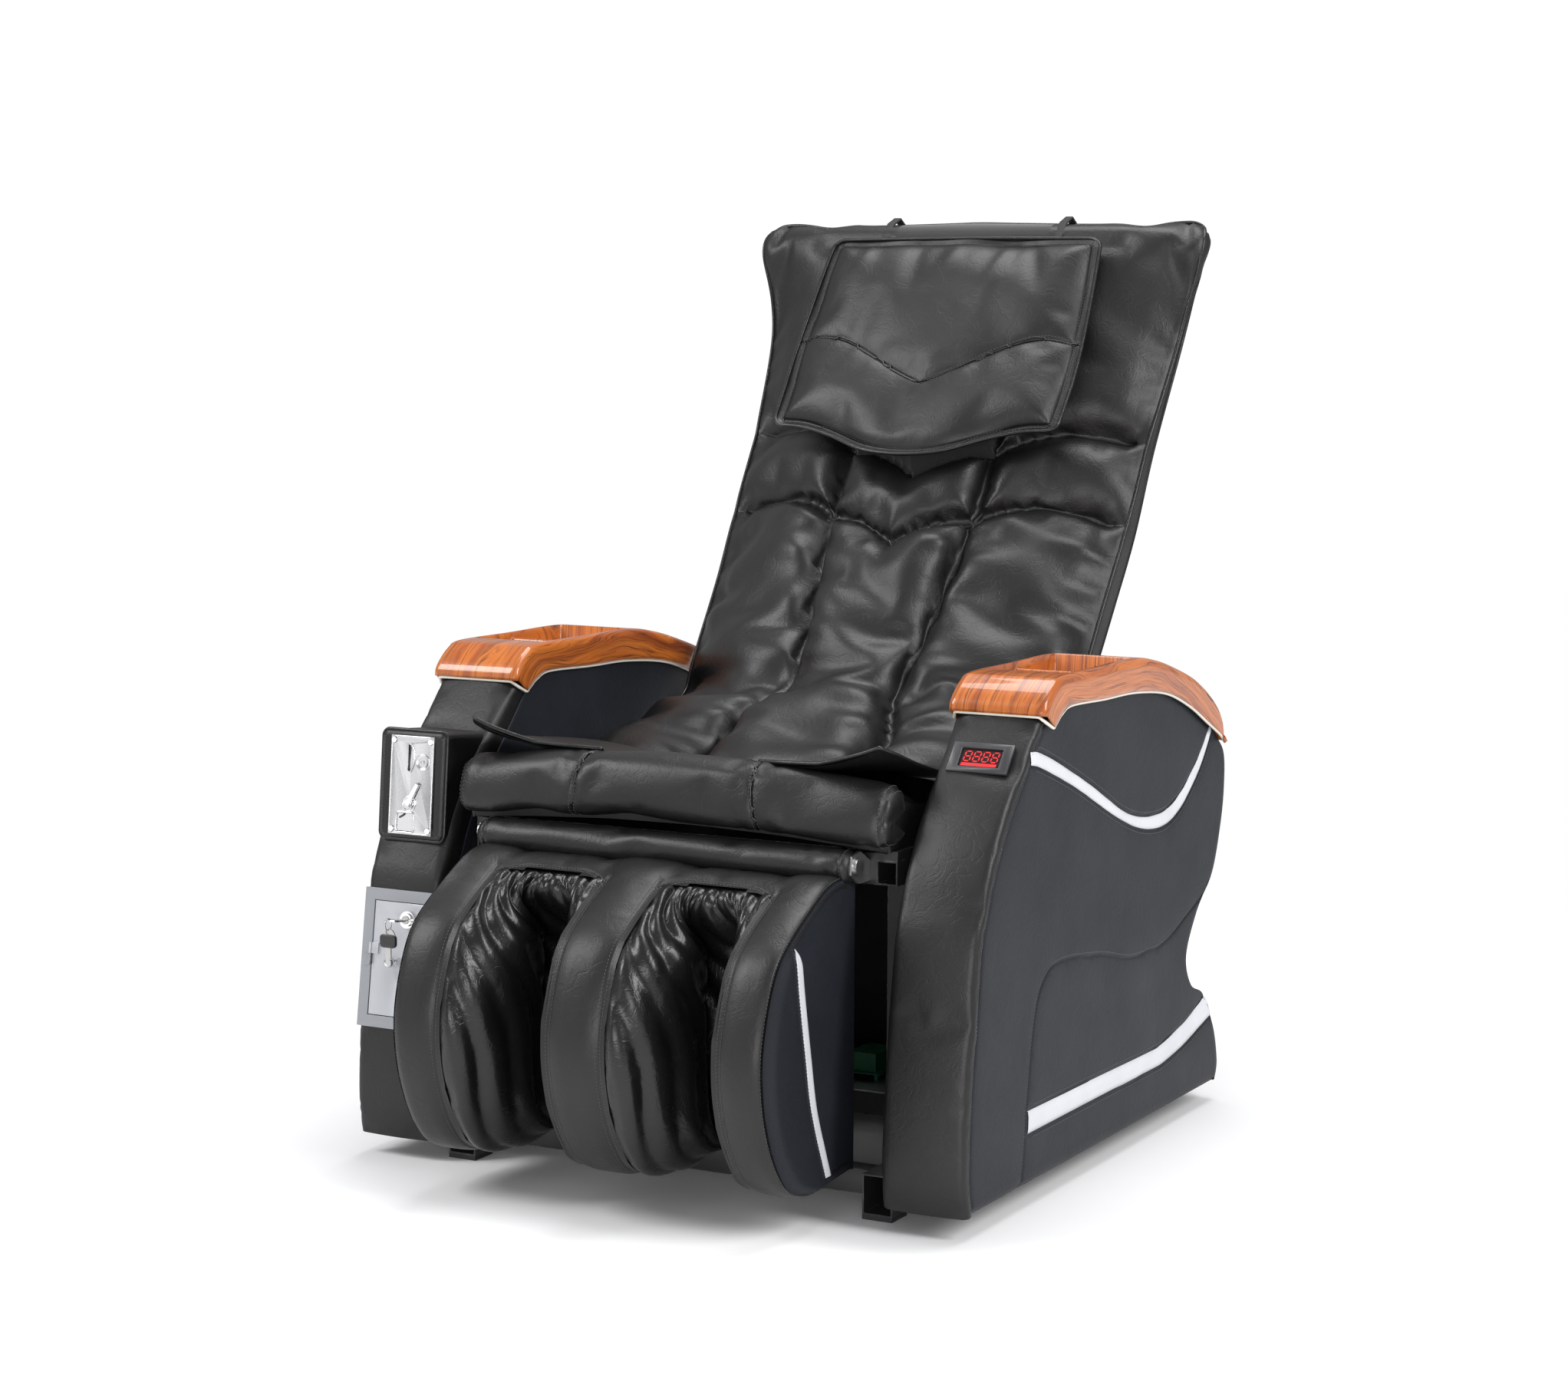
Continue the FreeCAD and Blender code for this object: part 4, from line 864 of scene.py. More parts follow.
def face_places(skin):
    """The pattern place of the middle of each face."""
    mesh = skin.data
    spots = np.zeros(len(mesh.loops) * 2)
    mesh.uv_layers[0].data.foreach_get("uv", spots)
    spots = spots.reshape(-1, 2) / MM
    return [spots[face.loop_start:face.loop_start + face.loop_total].mean(axis=0) for face in mesh.polygons]


def back_and_seat():
    us = np.linspace(-FLAP_END, FLAP_END, 111)
    vs = np.linspace(0, COVER_LONG, int(COVER_LONG / 8) + 1)
    edges = [np.array([(side * (ROLL_START + out), 0), (side * (ROLL_START + out), COVER_LONG)])
        for out in range(9, 100, 15) for side in (-1, 1)]
    skin = cover("back_and_seat_cover", LEATHER, us, vs, on_cover, cover_seams, 12, puff=cover_puff,
        pins=cover_seams + edges, sim=dict(pressure=3.0, growth=0.014, cap=12, bending=12.0), soft=13,
        crease=4.5, groove=2.6, passes=3,
        ease=lambda p: 0.12 + 0.88 * smoothstep((ROLL_START + 4 - np.abs(p[:, 0])) / 30))
    half, top = ROLL_START + 9, TOP_RUN
    side_v = np.linspace(300, top - 6, 200)
    corner = np.linspace(0, math.pi / 2, 12)
    bend = columns(half - 16 * (1 - np.cos(corner)), top - 6 + 6 * np.sin(corner))
    level = columns(np.linspace(half - 16, -half + 16, 90), top)
    rim = np.vstack([columns(half, side_v), bend[1:], level[1:-1], bend[::-1] * [-1, 1],
        columns(-half, side_v[::-1])[1:]])
    path = onto(skin, on_cover(rim) + normals_of(on_cover, rim) * cover_puff(rim)[:, None], 0.7)[0]
    for _ in range(6):
        path[1:-1] = (path[:-2] + 2 * path[1:-1] + path[2:]) / 4
    piping = tube("back_cover_piping", path, 2.6, PIPING)
    for piece in (skin, piping):
        settle(piece, None, "cushion", *(("back_pad", "seat_pad") if piece is skin else ()))
        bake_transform(piece)
    skin.data.materials.append(MATT_CLOTH)
    upper = chevrons[0]
    for face, (u, v) in zip(skin.data.polygons, face_places(skin)):
        if abs(u) < seam_half(v) and v > np.interp(abs(u), upper[13:, 0], upper[13:, 1]):
            face.material_index = 1


# ---------------------------------------------------------------- headrest
def joined(name, *objects):
    """One object from several meshes."""
    bm = bmesh.new()
    for obj in objects:
        bm.from_mesh(obj.data)
    mesh = objects[0].data.copy()
    bm.to_mesh(mesh)
    bm.free()
    for obj in objects:
        bpy.data.objects.remove(obj)
    return placed(name, mesh)


def rounded(a, b, radius_a, radius_b):
    """Pulls a square's corners onto arcs. a and b run from -1 to 1."""
    da = clamp((np.abs(a) - 1 + radius_a) / radius_a)
    db = clamp((np.abs(b) - 1 + radius_b) / radius_b)
    pull = np.maximum(da, db) / np.maximum(np.hypot(da, db), TINY)
    both = (da > 0) & (db > 0)
    a = np.where(both, np.sign(a) * (1 - radius_a + radius_a * da * pull), a)
    b = np.where(both, np.sign(b) * (1 - radius_b + radius_b * db * pull), b)
    return a, b


HEAD_HALF, HEAD_HIGH, FLANGE = 215, 350, 9
HEAD_LEFT = curve([(-219, 506), (-221, 570), (-221, 635), (-216, 730), (-209, 821)])
HEAD_BOTTOM = curve([(-219, 506), (-170, 503), (-120, 488), (-60, 463), (0, 456), (60, 463), (120, 488),
    (170, 503), (219, 506)])
HEAD_TOP = curve([(-209, 821), (0, 823), (209, 821)])
head_patch = coons(HEAD_LEFT, HEAD_LEFT * [-1, 1], HEAD_BOTTOM, HEAD_TOP)
HEAD_LEVEL = [(456, 78), (506, 62), (577, 54), (640, 51), (822, 48)]


def on_headrest(points, rise=20.0, under=0.0):
    a, b = rounded(points[:, 0] / HEAD_HALF, points[:, 1] / HEAD_HIGH * 2 - 1, 0.085, 0.1)
    flat = head_patch((a + 1) / 2, (b + 1) / 2)
    border = np.minimum(HEAD_HALF - np.abs(points[:, 0]), np.minimum(points[:, 1], HEAD_HIGH - points[:, 1]))
    level = np.interp(flat[:, 1], *np.array(HEAD_LEVEL).T)
    swell = rise * (1 - np.exp(-np.clip(border - FLANGE, 0, None) / 22))
    level = level + 2.2 * (under == 0) + swell - under * clamp(border / 4)
    y, z = along_back(flat[:, 1], level)
    return columns(flat[:, 0], y, z)


def rectangle(half, low, high):
    """A closed outline, even on both sides of the middle."""
    return np.array([(-half, low), (half, low), (half, high), (-half, high), (-half, low)], float)


def headrest():
    us, vs = np.linspace(-HEAD_HALF, HEAD_HALF, 61), np.linspace(0, HEAD_HIGH, 51)
    frame_line = spread(rectangle(HEAD_HALF - FLANGE, FLANGE, HEAD_HIGH - FLANGE), 200)
    across = np.linspace(0, 1, 16)
    wing = columns(across * HEAD_HALF, 112 + 50 * np.sin(clamp(across / 0.8) * math.pi / 2) ** 1.15
        - 5 * clamp((across - 0.8) / 0.2) ** 1.5)
    vee = np.vstack([wing[::-1] * [-1, 1], wing[1:]])
    folds = puckers(np.array([(-190, HEAD_HIGH - 14), (190, HEAD_HIGH - 14)], float), (0, HEAD_HIGH), 81,
        52, (90, 200), (14, 26), (1.0, 2.6), (-1,), 0.35)
    folds += puckers(vee, (0, HEAD_HIGH), 82, 62, (30, 80), (11, 20), (0.4, 1.4))
    front = cover("front", LEATHER, us, vs, on_headrest, [frame_line, vee], 3.5,
        puff=lambda p: 1.5 * dents(p, 150, 83) + fold_height(p, folds),
        sim=dict(pressure=2.5, growth=0.005, cap=7, bending=14.0), soft=9, crease=1.2, groove=2.2, passes=3)
    rear = cover("rear", LEATHER, -us[::-1], vs, lambda p: on_headrest(p * [-1, 1], 0.0, 9.0), [], 0,
        passes=0)
    rows = [sample_line(front, on_headrest, line, 0.1)
        for line in (vee - [0, 3.2], vee + [0, 3.2], frame_line)]
    vee_cord = sample_line(front, on_headrest, spread(vee, 160)[3:-3], 1.0)[0]
    settle(tube("headrest_seam_piping", vee_cord, 1.3, PIPING), "headrest", "cushion")
    skin = joined("headrest_cover", front, rear)
    border = spread(rectangle(HEAD_HALF, 0, HEAD_HIGH) * [0.999, 1], 260)
    piping = tube("headrest_piping", on_headrest(border)[:-1], 2.7, PIPING, closed=True)
    thread = stitches("headrest_stitches", rows, THREAD, pitch=4.6, long=3.2)
    settle(skin, "headrest", "cushion", "headrest_pad")
    settle(piping, "headrest", "cushion")
    settle(thread, "headrest", "cushion")


# ---------------------------------------------------------------- seat front roll and flaps
ROLL_SHAPE = [(-330, 474), (-343, 464), (-366, 460), (-385, 463), (-394, 474), (-396, 492), (-392, 512),
    (-383, 529), (-367, 539), (-350, 542), (-336, 536), (-330, 515)]
ROLL_STRAIGHT, ROLL_EDGE, ROLL_END = 292, 304, 330
roll_path = curve(ROLL_SHAPE, 120)
ROLL_LONG = run_length(roll_path)
roll_centre = roll_path.mean(axis=0)


def on_front_roll(points):
    u = np.abs(points[:, 0])
    y, z = look_up(points[:, 1], np.linspace(0, ROLL_LONG, len(roll_path)), roll_path)
    turn = clamp((u - ROLL_STRAIGHT) / (ROLL_EDGE - ROLL_STRAIGHT)) * math.pi / 2
    inset = 12 * (1 - np.cos(turn))
    size = np.hypot(y - roll_centre[0], z - roll_centre[1])
    scale = (1 - inset / size) * (1 - np.clip((u - ROLL_EDGE) / (ROLL_END - ROLL_EDGE), 0, 0.999))
    droop = clamp(u / ROLL_EDGE) ** 2
    x = np.where(u < ROLL_STRAIGHT, u, ROLL_STRAIGHT + 12 * np.sin(turn))
    high = z - roll_centre[1]
    high = high - 0.18 * droop * np.minimum(high, 0)
    return columns(np.sign(points[:, 0]) * x, roll_centre[0] + (y - roll_centre[0]) * scale + 6 * droop,
        roll_centre[1] + high * scale - 20 * droop)


def seat_front():
    us = np.linspace(-ROLL_END, ROLL_END, 89)
    vs = np.linspace(0, ROLL_LONG, 33)
    seams = []
    for side in (-1, 1):
        seams.append(np.array([(side * 131, 0), (side * 131, 0.32 * ROLL_LONG),
            (side * 119, 0.75 * ROLL_LONG), (side * 119, ROLL_LONG)], float))
        seams.append(np.array([(side * 297, 0), (side * 297, ROLL_LONG)], float))
    folds = []
    for number, line in enumerate(seams):
        folds += puckers(line, (0, ROLL_LONG), 71 + number, 26, (12, 34), (4, 9), (0.4, 1.2))
    skin = cover("seat_front_cushion", LEATHER, us, vs, on_front_roll, seams, 1.5,
        puff=lambda p: 1.2 * dents(p, 150, 9) + fold_height(p, folds) - 1,
        sim=dict(pressure=1.0, growth=0.006, cap=3, bending=6.0), soft=5, crease=1.5)
    rows = [sample_line(skin, on_front_roll, spread(line, 60)[8:-8] + [shift, 0], 0.1) for line in seams
        for shift in (-3.4, 3.4)]
    thread = stitches("seat_front_stitches", rows, THREAD, pitch=4.6)
    settle(skin, "chair", "cushion", "seat_front_roll")
    settle(thread, "chair", "cushion")
    for number, line in enumerate(seams):
        if number % 2 == 0:
            cord = sample_line(skin, on_front_roll, spread(line, 90)[4:-4], 0.2)[0]
            settle(tube(f"seat_front_piping_{number}", cord, 1.7, PIPING), "chair", "cushion")
    # the dark valance under the roll
    def on_valance(points):
        u, v = points.T
        droop = (u / ROLL_EDGE) ** 2
        wave = 1.2 * np.sin(u / 19.0) * (1 - v / 24)
        return columns(u, -364 + 6 * droop - 0.28 * v + wave, 456 + v - 16 * droop)
    valance = cover("seat_valance", MATT_CLOTH, np.linspace(-298, 298, 60), np.linspace(0, 24, 6),
        on_valance, [], 0, passes=0)
    settle(valance, "chair", "black_leather")


FLAP_WIDE, FLAP_LONG = 190, 240
FLAP_FRONT = curve([(112, -346, 541), (150, -356, 546), (205, -362, 553), (255, -369, 563), (287, -370, 572)])
FLAP_OUTER = curve([(287, -370, 572), (299, -345, 561), (303, -300, 545), (304, -230, 526), (302, -140, 509)])
FLAP_INNER = curve([(112, -346, 541), (112, -320, 525), (116, -270, 509), (118, -200, 503), (119, -140, 500)])
flap_patch = coons(FLAP_INNER, FLAP_OUTER, FLAP_FRONT, np.linspace(FLAP_INNER[-1], FLAP_OUTER[-1], 60))


def seat_flap(word, side):
    """Thin padded flap that lies over an end of the front roll, with a raised piped corner."""
    def on_flap(points, under=0.0):
        s, r = clamp(side * points[:, 0] / FLAP_WIDE), points[:, 1] / FLAP_LONG
        hump = np.sin(math.pi * s)
        sag = 7 * hump * (1 - r) ** 2 - 10 * np.abs(hump) ** 0.6 * smoothstep(3 * r) * smoothstep(6 * (1 - r))
        return flap_patch(s, clamp(r)) * [side, 1, 1] - columns(0, 0, sag + under)
    us, vs = np.sort(side * np.linspace(0, FLAP_WIDE, 32)), np.linspace(0, FLAP_LONG, 36)
    hem = np.array([(0, 7), (side * (FLAP_WIDE - 7), 7), (side * (FLAP_WIDE - 7), FLAP_LONG)], float)
    top = cover("top", LEATHER, us, vs, on_flap, [hem], 1.2, crease=0.9, soft=6,
        sim=dict(pressure=1.2, growth=0.02, cap=6, bending=4.0))
    rows = [sample_line(top, on_flap, spread(hem, 90), 0.1)]
    low = cover("low", LEATHER, -us[::-1], vs, lambda p: on_flap(p * [-1, 1], under=4.5), [], 0, passes=0)
    skin = joined(f"seat_flap_{word}", top, low)
    edge = np.vstack([FLAP_FRONT, FLAP_OUTER[1:]]) * [side, 1, 1] - [0, 0, 2.2]
    edge[:, 2] -= 6.3 * np.interp(np.arange(len(edge)), [0, 30, 60], [0, 1, 0])
    piping = tube(f"seat_flap_piping_{word}", edge, 2.6, PIPING)
    thread = stitches(f"seat_flap_stitches_{word}", rows, THREAD, pitch=4.6)
    settle(skin, "chair", "black_leather", *(["seat_flaps"] if side > 0 else []))
    for piece in (piping, thread):
        settle(piece, "chair", "black_leather")


# ---------------------------------------------------------------- calf rest
LOBE_PATH = [(-381, 56), (-430, 52), (-480, 49), (-526, 62), (-555, 88), (-578, 126), (-595, 178),
    (-598, 235), (-583, 292), (-560, 334), (-525, 362), (-474, 391), (-440, 407), (-410, 413), (-390, 412)]
LOBE_HALF, LOBE_IN, CALF_HALF = 42, 190, 256
lobe_path = curve(LOBE_PATH, 260)
LOBE_LONG = run_length(lobe_path)
lobe_run = np.linspace(0, LOBE_LONG, len(lobe_path))
POCKET_TOP = LOBE_LONG - 68
SIDE_ROLL = 7


def on_profile(v):
    """Place and outward direction on the lobes' outline."""
    y, z = look_up(v, lobe_run, lobe_path)
    dy, dz = np.array(look_up(v + 3, lobe_run, lobe_path)) - look_up(v - 3, lobe_run, lobe_path)
    size = np.maximum(np.hypot(dy, dz), TINY)
    return y, z, -dz / size, dy / size


def on_lobes(points):
    u, v = np.abs(points[:, 0]), points[:, 1]
    y, z, ny, nz = on_profile(v)
    edge = np.minimum(np.abs(u - LOBE_HALF), np.abs(u - LOBE_IN))
    in_pocket = (u > LOBE_HALF) & (u < LOBE_IN)
    crown = 4.0 * (1 - np.exp(-edge / 12)) * ~in_pocket
    turn = clamp((u - CALF_HALF + SIDE_ROLL) / (SIDE_ROLL * 1.571)) * math.pi / 2
    x = np.where(turn > 0, CALF_HALF - SIDE_ROLL + SIDE_ROLL * np.sin(turn), u)
    drop = SIDE_ROLL * (1 - np.cos(turn)) + np.clip(u - CALF_HALF - 4, 0, None) - crown
    return columns(np.sign(points[:, 0]) * x, y - ny * drop, z - nz * drop)


def pocket_edge(across):
    """How high a calf pocket reaches, from -1 to 1 across it."""
    return POCKET_TOP + 3 - 26 * np.abs(np.clip(across, -1, 1)) ** 4


def calf_cover():
    us, vs = np.linspace(-268, 268, 68), np.linspace(0, LOBE_LONG, 80)
    inset = 7
    seams = []
    for side in (-1, 1):
        for u in (LOBE_HALF - inset, LOBE_IN + inset):
            seams.append(np.array([(side * u, 20), (side * u, POCKET_TOP + 2)], float))
        across = np.linspace(-1, 1, 40)
        top = columns((LOBE_HALF + LOBE_IN) / 2 + across * 81, pocket_edge(across) + inset)
        seams.append(top * [side, 1])
        seams.append(np.array([(side * (CALF_HALF + 1), 10), (side * (CALF_HALF + 1), LOBE_LONG - 10)],
            float))

    def keep(middles):
        u, v = np.abs(middles[:, 0]), middles[:, 1]
        across = (u - (LOBE_HALF + LOBE_IN) / 2) * 2 / (LOBE_IN - LOBE_HALF)
        return ~((np.abs(across) < 1) & (v < pocket_edge(across)))
    skin = cover("calf_rest_cover", LEATHER, us, vs, on_lobes, seams, 1.6, keep=keep, soft=5, crease=1.3,
        sim=dict(pressure=1.5, growth=0.008, cap=3, bending=8.0))
    rows = []
    for line in seams:
        across = np.array([2.6, 0] if abs(line[0][0] - line[-1][0]) < 1 else [0, 2.6])
        rows += [sample_line(skin, on_lobes, spread(line, 120) + move, 0.1) for move in (-across, across)]
    thread = stitches("calf_rest_stitches", rows, THREAD, pitch=4.4, long=3.1)
    settle(skin, "calf_rest", "cushion", "outer_calf_lobes", "middle_calf_lobe")
    settle(thread, "calf_rest", "cushion")


LINING_WIDE = 520


def on_lining(points, side=1):
    """The gathered lining of a calf channel: down one wall, over the floor and up the other wall."""
    c = clamp(side * points[:, 0] / LINING_WIDE)
    v = points[:, 1]
    y, z, _, _ = on_profile(v)
    floor_y = -398
    floor_z = 66 + (388 - 66) * clamp(v / POCKET_TOP)
    wall = np.minimum(c, 1 - c)
    plump_wall = (c < 0.5) == (side > 0)
    run_in = clamp(wall / 0.42)
    deep = np.where(plump_wall, smoothstep(run_in), run_in ** 0.85)
    close = 1 - smoothstep((v - POCKET_TOP + 150) / 150)
    deep = deep * (0.10 + 0.90 * close)
    swell = np.sin(math.pi * clamp(wall / 0.40))
    bulge = np.where(plump_wall, 58 * swell ** 0.9, 34 * swell ** 2.2) * (0.35 + 0.65 * close)
    span = smoothstep((c - 0.36) / 0.28)
    wall_x = np.where(c < 0.5, LOBE_HALF + bulge, LOBE_IN - bulge)
    floor_x = LOBE_HALF + bulge + (LOBE_IN - LOBE_HALF - 2 * bulge) * span
    x = np.where(np.abs(c - 0.5) > 0.14, wall_x, floor_x)
    flat_x = LOBE_HALF + (LOBE_IN - LOBE_HALF) * c
    x = x * close + flat_x * (1 - close)
    return columns(side * x, y + (floor_y - y) * deep, z + (floor_z - z) * deep)


def gathers(points, side=1):
    """Ruffles at the stitched edges and pleats under the channel's top."""
    c = np.clip(side * points[:, 0], 0, LINING_WIDE)
    v = points[:, 1]
    edge = np.minimum(c, LINING_WIDE - c)
    plump_wall = (c < LINING_WIDE / 2) == (side > 0)
    upper = smoothstep((v - 0.45 * POCKET_TOP) / (0.4 * POCKET_TOP))
    lower = smoothstep((0.20 * POCKET_TOP - v) / (0.2 * POCKET_TOP))
    ruffle = np.sin(v / 7.5 + 1.6 * np.sin(v / 37) + 0.05 * edge)
    ruffle = ruffle * np.exp(-edge / 34) * (0.9 * upper + 0.6 * lower)
    pleats = np.abs(np.sin(c / 21 + 0.5 * np.sin(v / 45))) ** 0.7 * np.exp(-(POCKET_TOP - v) / 150)
    slant = edge / 12.5 + 0.7 * np.sin(v / 61) + upper * (v - 0.45 * POCKET_TOP) / 42
    folds = np.abs(np.sin(slant)) ** 0.75 * np.sin(math.pi * clamp(v / POCKET_TOP)) ** 0.5
    inside = smoothstep((np.minimum(edge, POCKET_TOP - v) - 2) / 12)
    strength = np.where(plump_wall, 1.0, 0.55)
    return inside * (strength * (1.5 * ruffle + 11.0 * folds) + 9 * pleats - 6) - 1.5


def mirrored(side, wide, count):
    """Evenly spaced pattern lines from the middle out to one side, in rising order."""
    return np.linspace(0, wide, count) if side > 0 else np.linspace(-wide, 0, count)


def calf_linings():
    for word, side in SIDES.items():
        us = mirrored(side, LINING_WIDE, 86)
        vs = np.linspace(14, POCKET_TOP, 56)
        skin = cover(f"{word}_calf_lining", SOFT_LEATHER, us, vs, lambda p: on_lining(p, side), [], 0,
            puff=lambda p: gathers(p, side), passes=0,
            sim=dict(pressure=0.8, growth=0.03, cap=8, bending=4.0, frames=20))
        subdivide(skin)
        settle(skin, "calf_rest", "airbag_cloth", *(["calf_airbags"] if side > 0 else []))


def subdivide(obj, levels=1):
    modifier = obj.modifiers.new("smooth", "SUBSURF")
    modifier.levels = modifier.render_levels = levels
    apply_modifiers(obj)
    obj.data.shade_smooth()
    return obj


CALF_STRIPE = [(-523, 352), (-511, 335), (-503, 290), (-487, 214), (-471, 146), (-435, 60)]


def calf_sides():
    """Side faces of the calf rest: a puffed front panel, a pale stripe and a flat rear panel."""
    rear = np.array([(-369, 54), (-369, 404)], float)
    front = columns(*on_profile(lobe_run)[:2])
    low = spread(np.array([front[0], (-369, 54)]), 40)
    top = spread(np.array([front[-1], (-369, 404)]), 40)
    patch = coons(front, spread(rear, 60), low, top)
    stripe = curve(CALF_STRIPE, 80)
    tape = columns(7.4 * smoothstep(np.arange(80) / 9 + 0.05), 0)
    for word, side in SIDES.items():
        def on_side(points):
            flat = patch(clamp(side * points[:, 0] / 230), clamp(points[:, 1] / 360))
            at = np.interp(flat[:, 1], stripe[::-1, 1], stripe[::-1, 0])
            bulge = 5.5 * smoothstep((at - 4 - flat[:, 0]) / 22) * smoothstep(side * points[:, 0] / 26)
            return columns(side * (CALF_HALF - 0.5 + bulge), flat[:, 0], flat[:, 1])
        us, vs = mirrored(side, 230, 52), np.linspace(0, 360, 72)
        seam = find(on_side, us, vs, beside(side * CALF_HALF, stripe))
        skin = cover(f"{word}_calf_side", SIDE_LEATHER, us, vs, on_side, [curve(seam[::8], 60)], 0.8,
            soft=5, crease=1.0)
        ribbon(f"{word}_calf_stripe", skin, side, CALF_HALF, stripe - tape, stripe + tape, "calf_rest")
        line = onto(skin, beside(side * CALF_HALF, stripe - [7, 0]), 0.1)
        thread = stitches(f"{word}_calf_side_stitches", [line], THREAD, pitch=4.6)
        settle(thread, "calf_rest", "side_leather")
        settle(skin, "calf_rest", "side_leather")


def ribbon(name, skin, side, level, low, high, body, thick=0.9):
    """Flat tape between two y, z lines on a side face, slightly crowned."""
    count = len(low)
    rows = []
    for t, lift in ((0.0, -0.6), (0.02, 0.55), (0.25, thick), (0.75, thick), (0.98, 0.55), (1.0, -0.6)):
        flat = low + (high - low) * t
        spots, normals = onto(skin, beside(side * level, flat))
        spots[:, 0] += side * lift
        spots[:, 1:] = flat
        rows.append(spots)
    faces = grid_faces(6, count)
    if side > 0:
        faces = [f[::-1] for f in faces]
    obj = make(name, np.vstack(rows), faces, STRIPE)
    return settle(obj, body, "side_leather")


LOWER_ROLL = [(-366, 418), (-378, 408), (-392, 408), (-403, 415), (-408, 428), (-404, 441), (-393, 449),
    (-378, 450), (-366, 441)]
lower_path = curve(LOWER_ROLL, 60)
LOWER_LONG = run_length(lower_path)


def lower_roll():
    """Soft roll that hides the calf rest's hinge."""
    centre = lower_path.mean(axis=0)

    def on_roll(points):
        u = np.abs(points[:, 0])
        y, z = look_up(points[:, 1], np.linspace(0, LOWER_LONG, len(lower_path)), lower_path)
        turn = clamp((u - 254) / 8) * math.pi / 2
        scale = (1 - 0.3 * (1 - np.cos(turn))) * (1 - np.clip((u - 262) / 18, 0, 0.999))
        x = np.where(u < 254, u, 254 + 8 * np.sin(turn))
        wave = 0.4 * np.sin(points[:, 0] / 47)
        return columns(np.sign(points[:, 0]) * x, centre[0] + (y - centre[0]) * scale,
            centre[1] - 2.5 + (z - centre[1]) * scale * 0.95 + wave)
    us, vs = np.linspace(-280, 280, 90), np.linspace(0, LOWER_LONG, 20)
    seams = [np.array([(side * 250, 0), (side * 250, LOWER_LONG)], float) for side in (-1, 1)]
    skin = cover("calf_hinge_roll", LEATHER, us, vs, on_roll, seams, 1.2, soft=5, crease=0.9,
        sim=dict(pressure=1.2, growth=0.006, cap=3, bending=8.0))
    rows = [sample_line(skin, on_roll, spread(line, 40) + [3 * np.sign(line[0][0]), 0], 0.1)
        for line in seams]
    thread = stitches("calf_hinge_roll_stitches", rows, THREAD, pitch=4.4)
    settle(skin, "calf_rest", "cushion", "hinge_roll")
    settle(thread, "calf_rest", "cushion")


# ---------------------------------------------------------------- arms
ARM_IN, ARM_OUT = 318, 434
FRONT = curve([(-423, 27), (-430, 80), (-426, 168), (-413, 260), (-401, 346), (-385, 390), (-359, 444),
    (-318, 502), (-279, 544), (-224, 604)], 160)
TOP = curve([(-224, 604), (-150, 612), (-49, 612), (52, 610), (157, 598), (241, 573), (313, 541),
    (366, 508)], 120)
REAR = curve([(386, 27), (395, 55), (378, 107), (338, 158), (290, 179), (270, 222), (306, 275), (361, 319),
    (392, 389), (401, 441), (396, 482), (366, 508)], 200)
SEAM_BACK, FRONT_DEEP = 15, 30
STRIPES = {
    "upper": (
        curve([(-256, 561), (-229, 557), (-171, 537), (-99, 509), (-24, 477), (27, 454), (80, 438),
            (133, 431), (186, 433), (240, 451), (295, 486), (322, 509), (338, 526)], 90),
        curve([(-256, 545), (-222, 537), (-122, 502), (-23, 461), (28, 441), (80, 424), (133, 414),
            (187, 414), (241, 432), (292, 465), (321, 491), (342, 520)], 90)),
    "lower": (
        curve([(-252, 121), (-50, 119), (147, 116), (201, 121), (270, 133), (312, 146), (338, 155)], 90),
        curve([(-253, 93), (-50, 92), (148, 91), (202, 93), (272, 104), (314, 114), (366, 126)], 90)),
}
PANEL_SEAM = curve([(-270, 29), (-260, 93), (-253, 148), (-241, 212), (-226, 257), (-204, 281), (-162, 291),
    (-90, 285), (-16, 274), (61, 257), (141, 253), (195, 257), (249, 274), (305, 291), (350, 312)], 90)


def edge_shift(line, by):
    """A curve moved sideways, to the left of its direction."""
    ahead = headings(line)
    return line + by * columns(-ahead[:, 1], ahead[:, 0])


def wrap_section(inner_depth, outer_depth, inner_radius, outer_radius):
    """Across a strip: how far out from the arm's inner face and how deep behind the strip's face."""
    quarter = np.linspace(0, math.pi / 2, 10)
    wide = ARM_OUT - ARM_IN
    path = [(0, inner_depth)] if inner_depth > inner_radius else []
    path += [(inner_radius * (1 - math.cos(t)), inner_radius * (1 - math.sin(t))) for t in quarter]
    path += [(wide - outer_radius * (1 - math.sin(t)), outer_radius * (1 - math.cos(t))) for t in quarter]
    if outer_depth > outer_radius:
        path.append((wide, outer_depth))
    return np.array(path), lengths(path)


def strip_place(line, section, run, side, flip=1):
    """Places points of a strip that wraps an edge line. flip is -1 for a strip that faces the back."""
    along = lengths(line)
    ahead = headings(line)

    def place(points):
        out, depth = look_up(side * flip * points[:, 0], run, section)
        y, z = look_up(points[:, 1], along, line)
        ty, tz = look_up(points[:, 1], along, ahead)
        return columns(side * (ARM_IN + out), y + flip * tz * depth, z - flip * ty * depth)
    return place, along[-1]


def side_patch(outer):
    """The arm's side face, without the front strip: pattern u from front to back, v from the bottom up."""
    front = edge_shift(FRONT, -SEAM_BACK if outer else -FRONT_DEEP)
    top = spread(np.vstack([front[-1:], TOP[12:]]), 120)
    bottom = spread(np.array([front[0], (386, 27)]), 60)
    return coons(front, REAR, bottom, top)


SIDE_WIDE, SIDE_HIGH = 690, 580


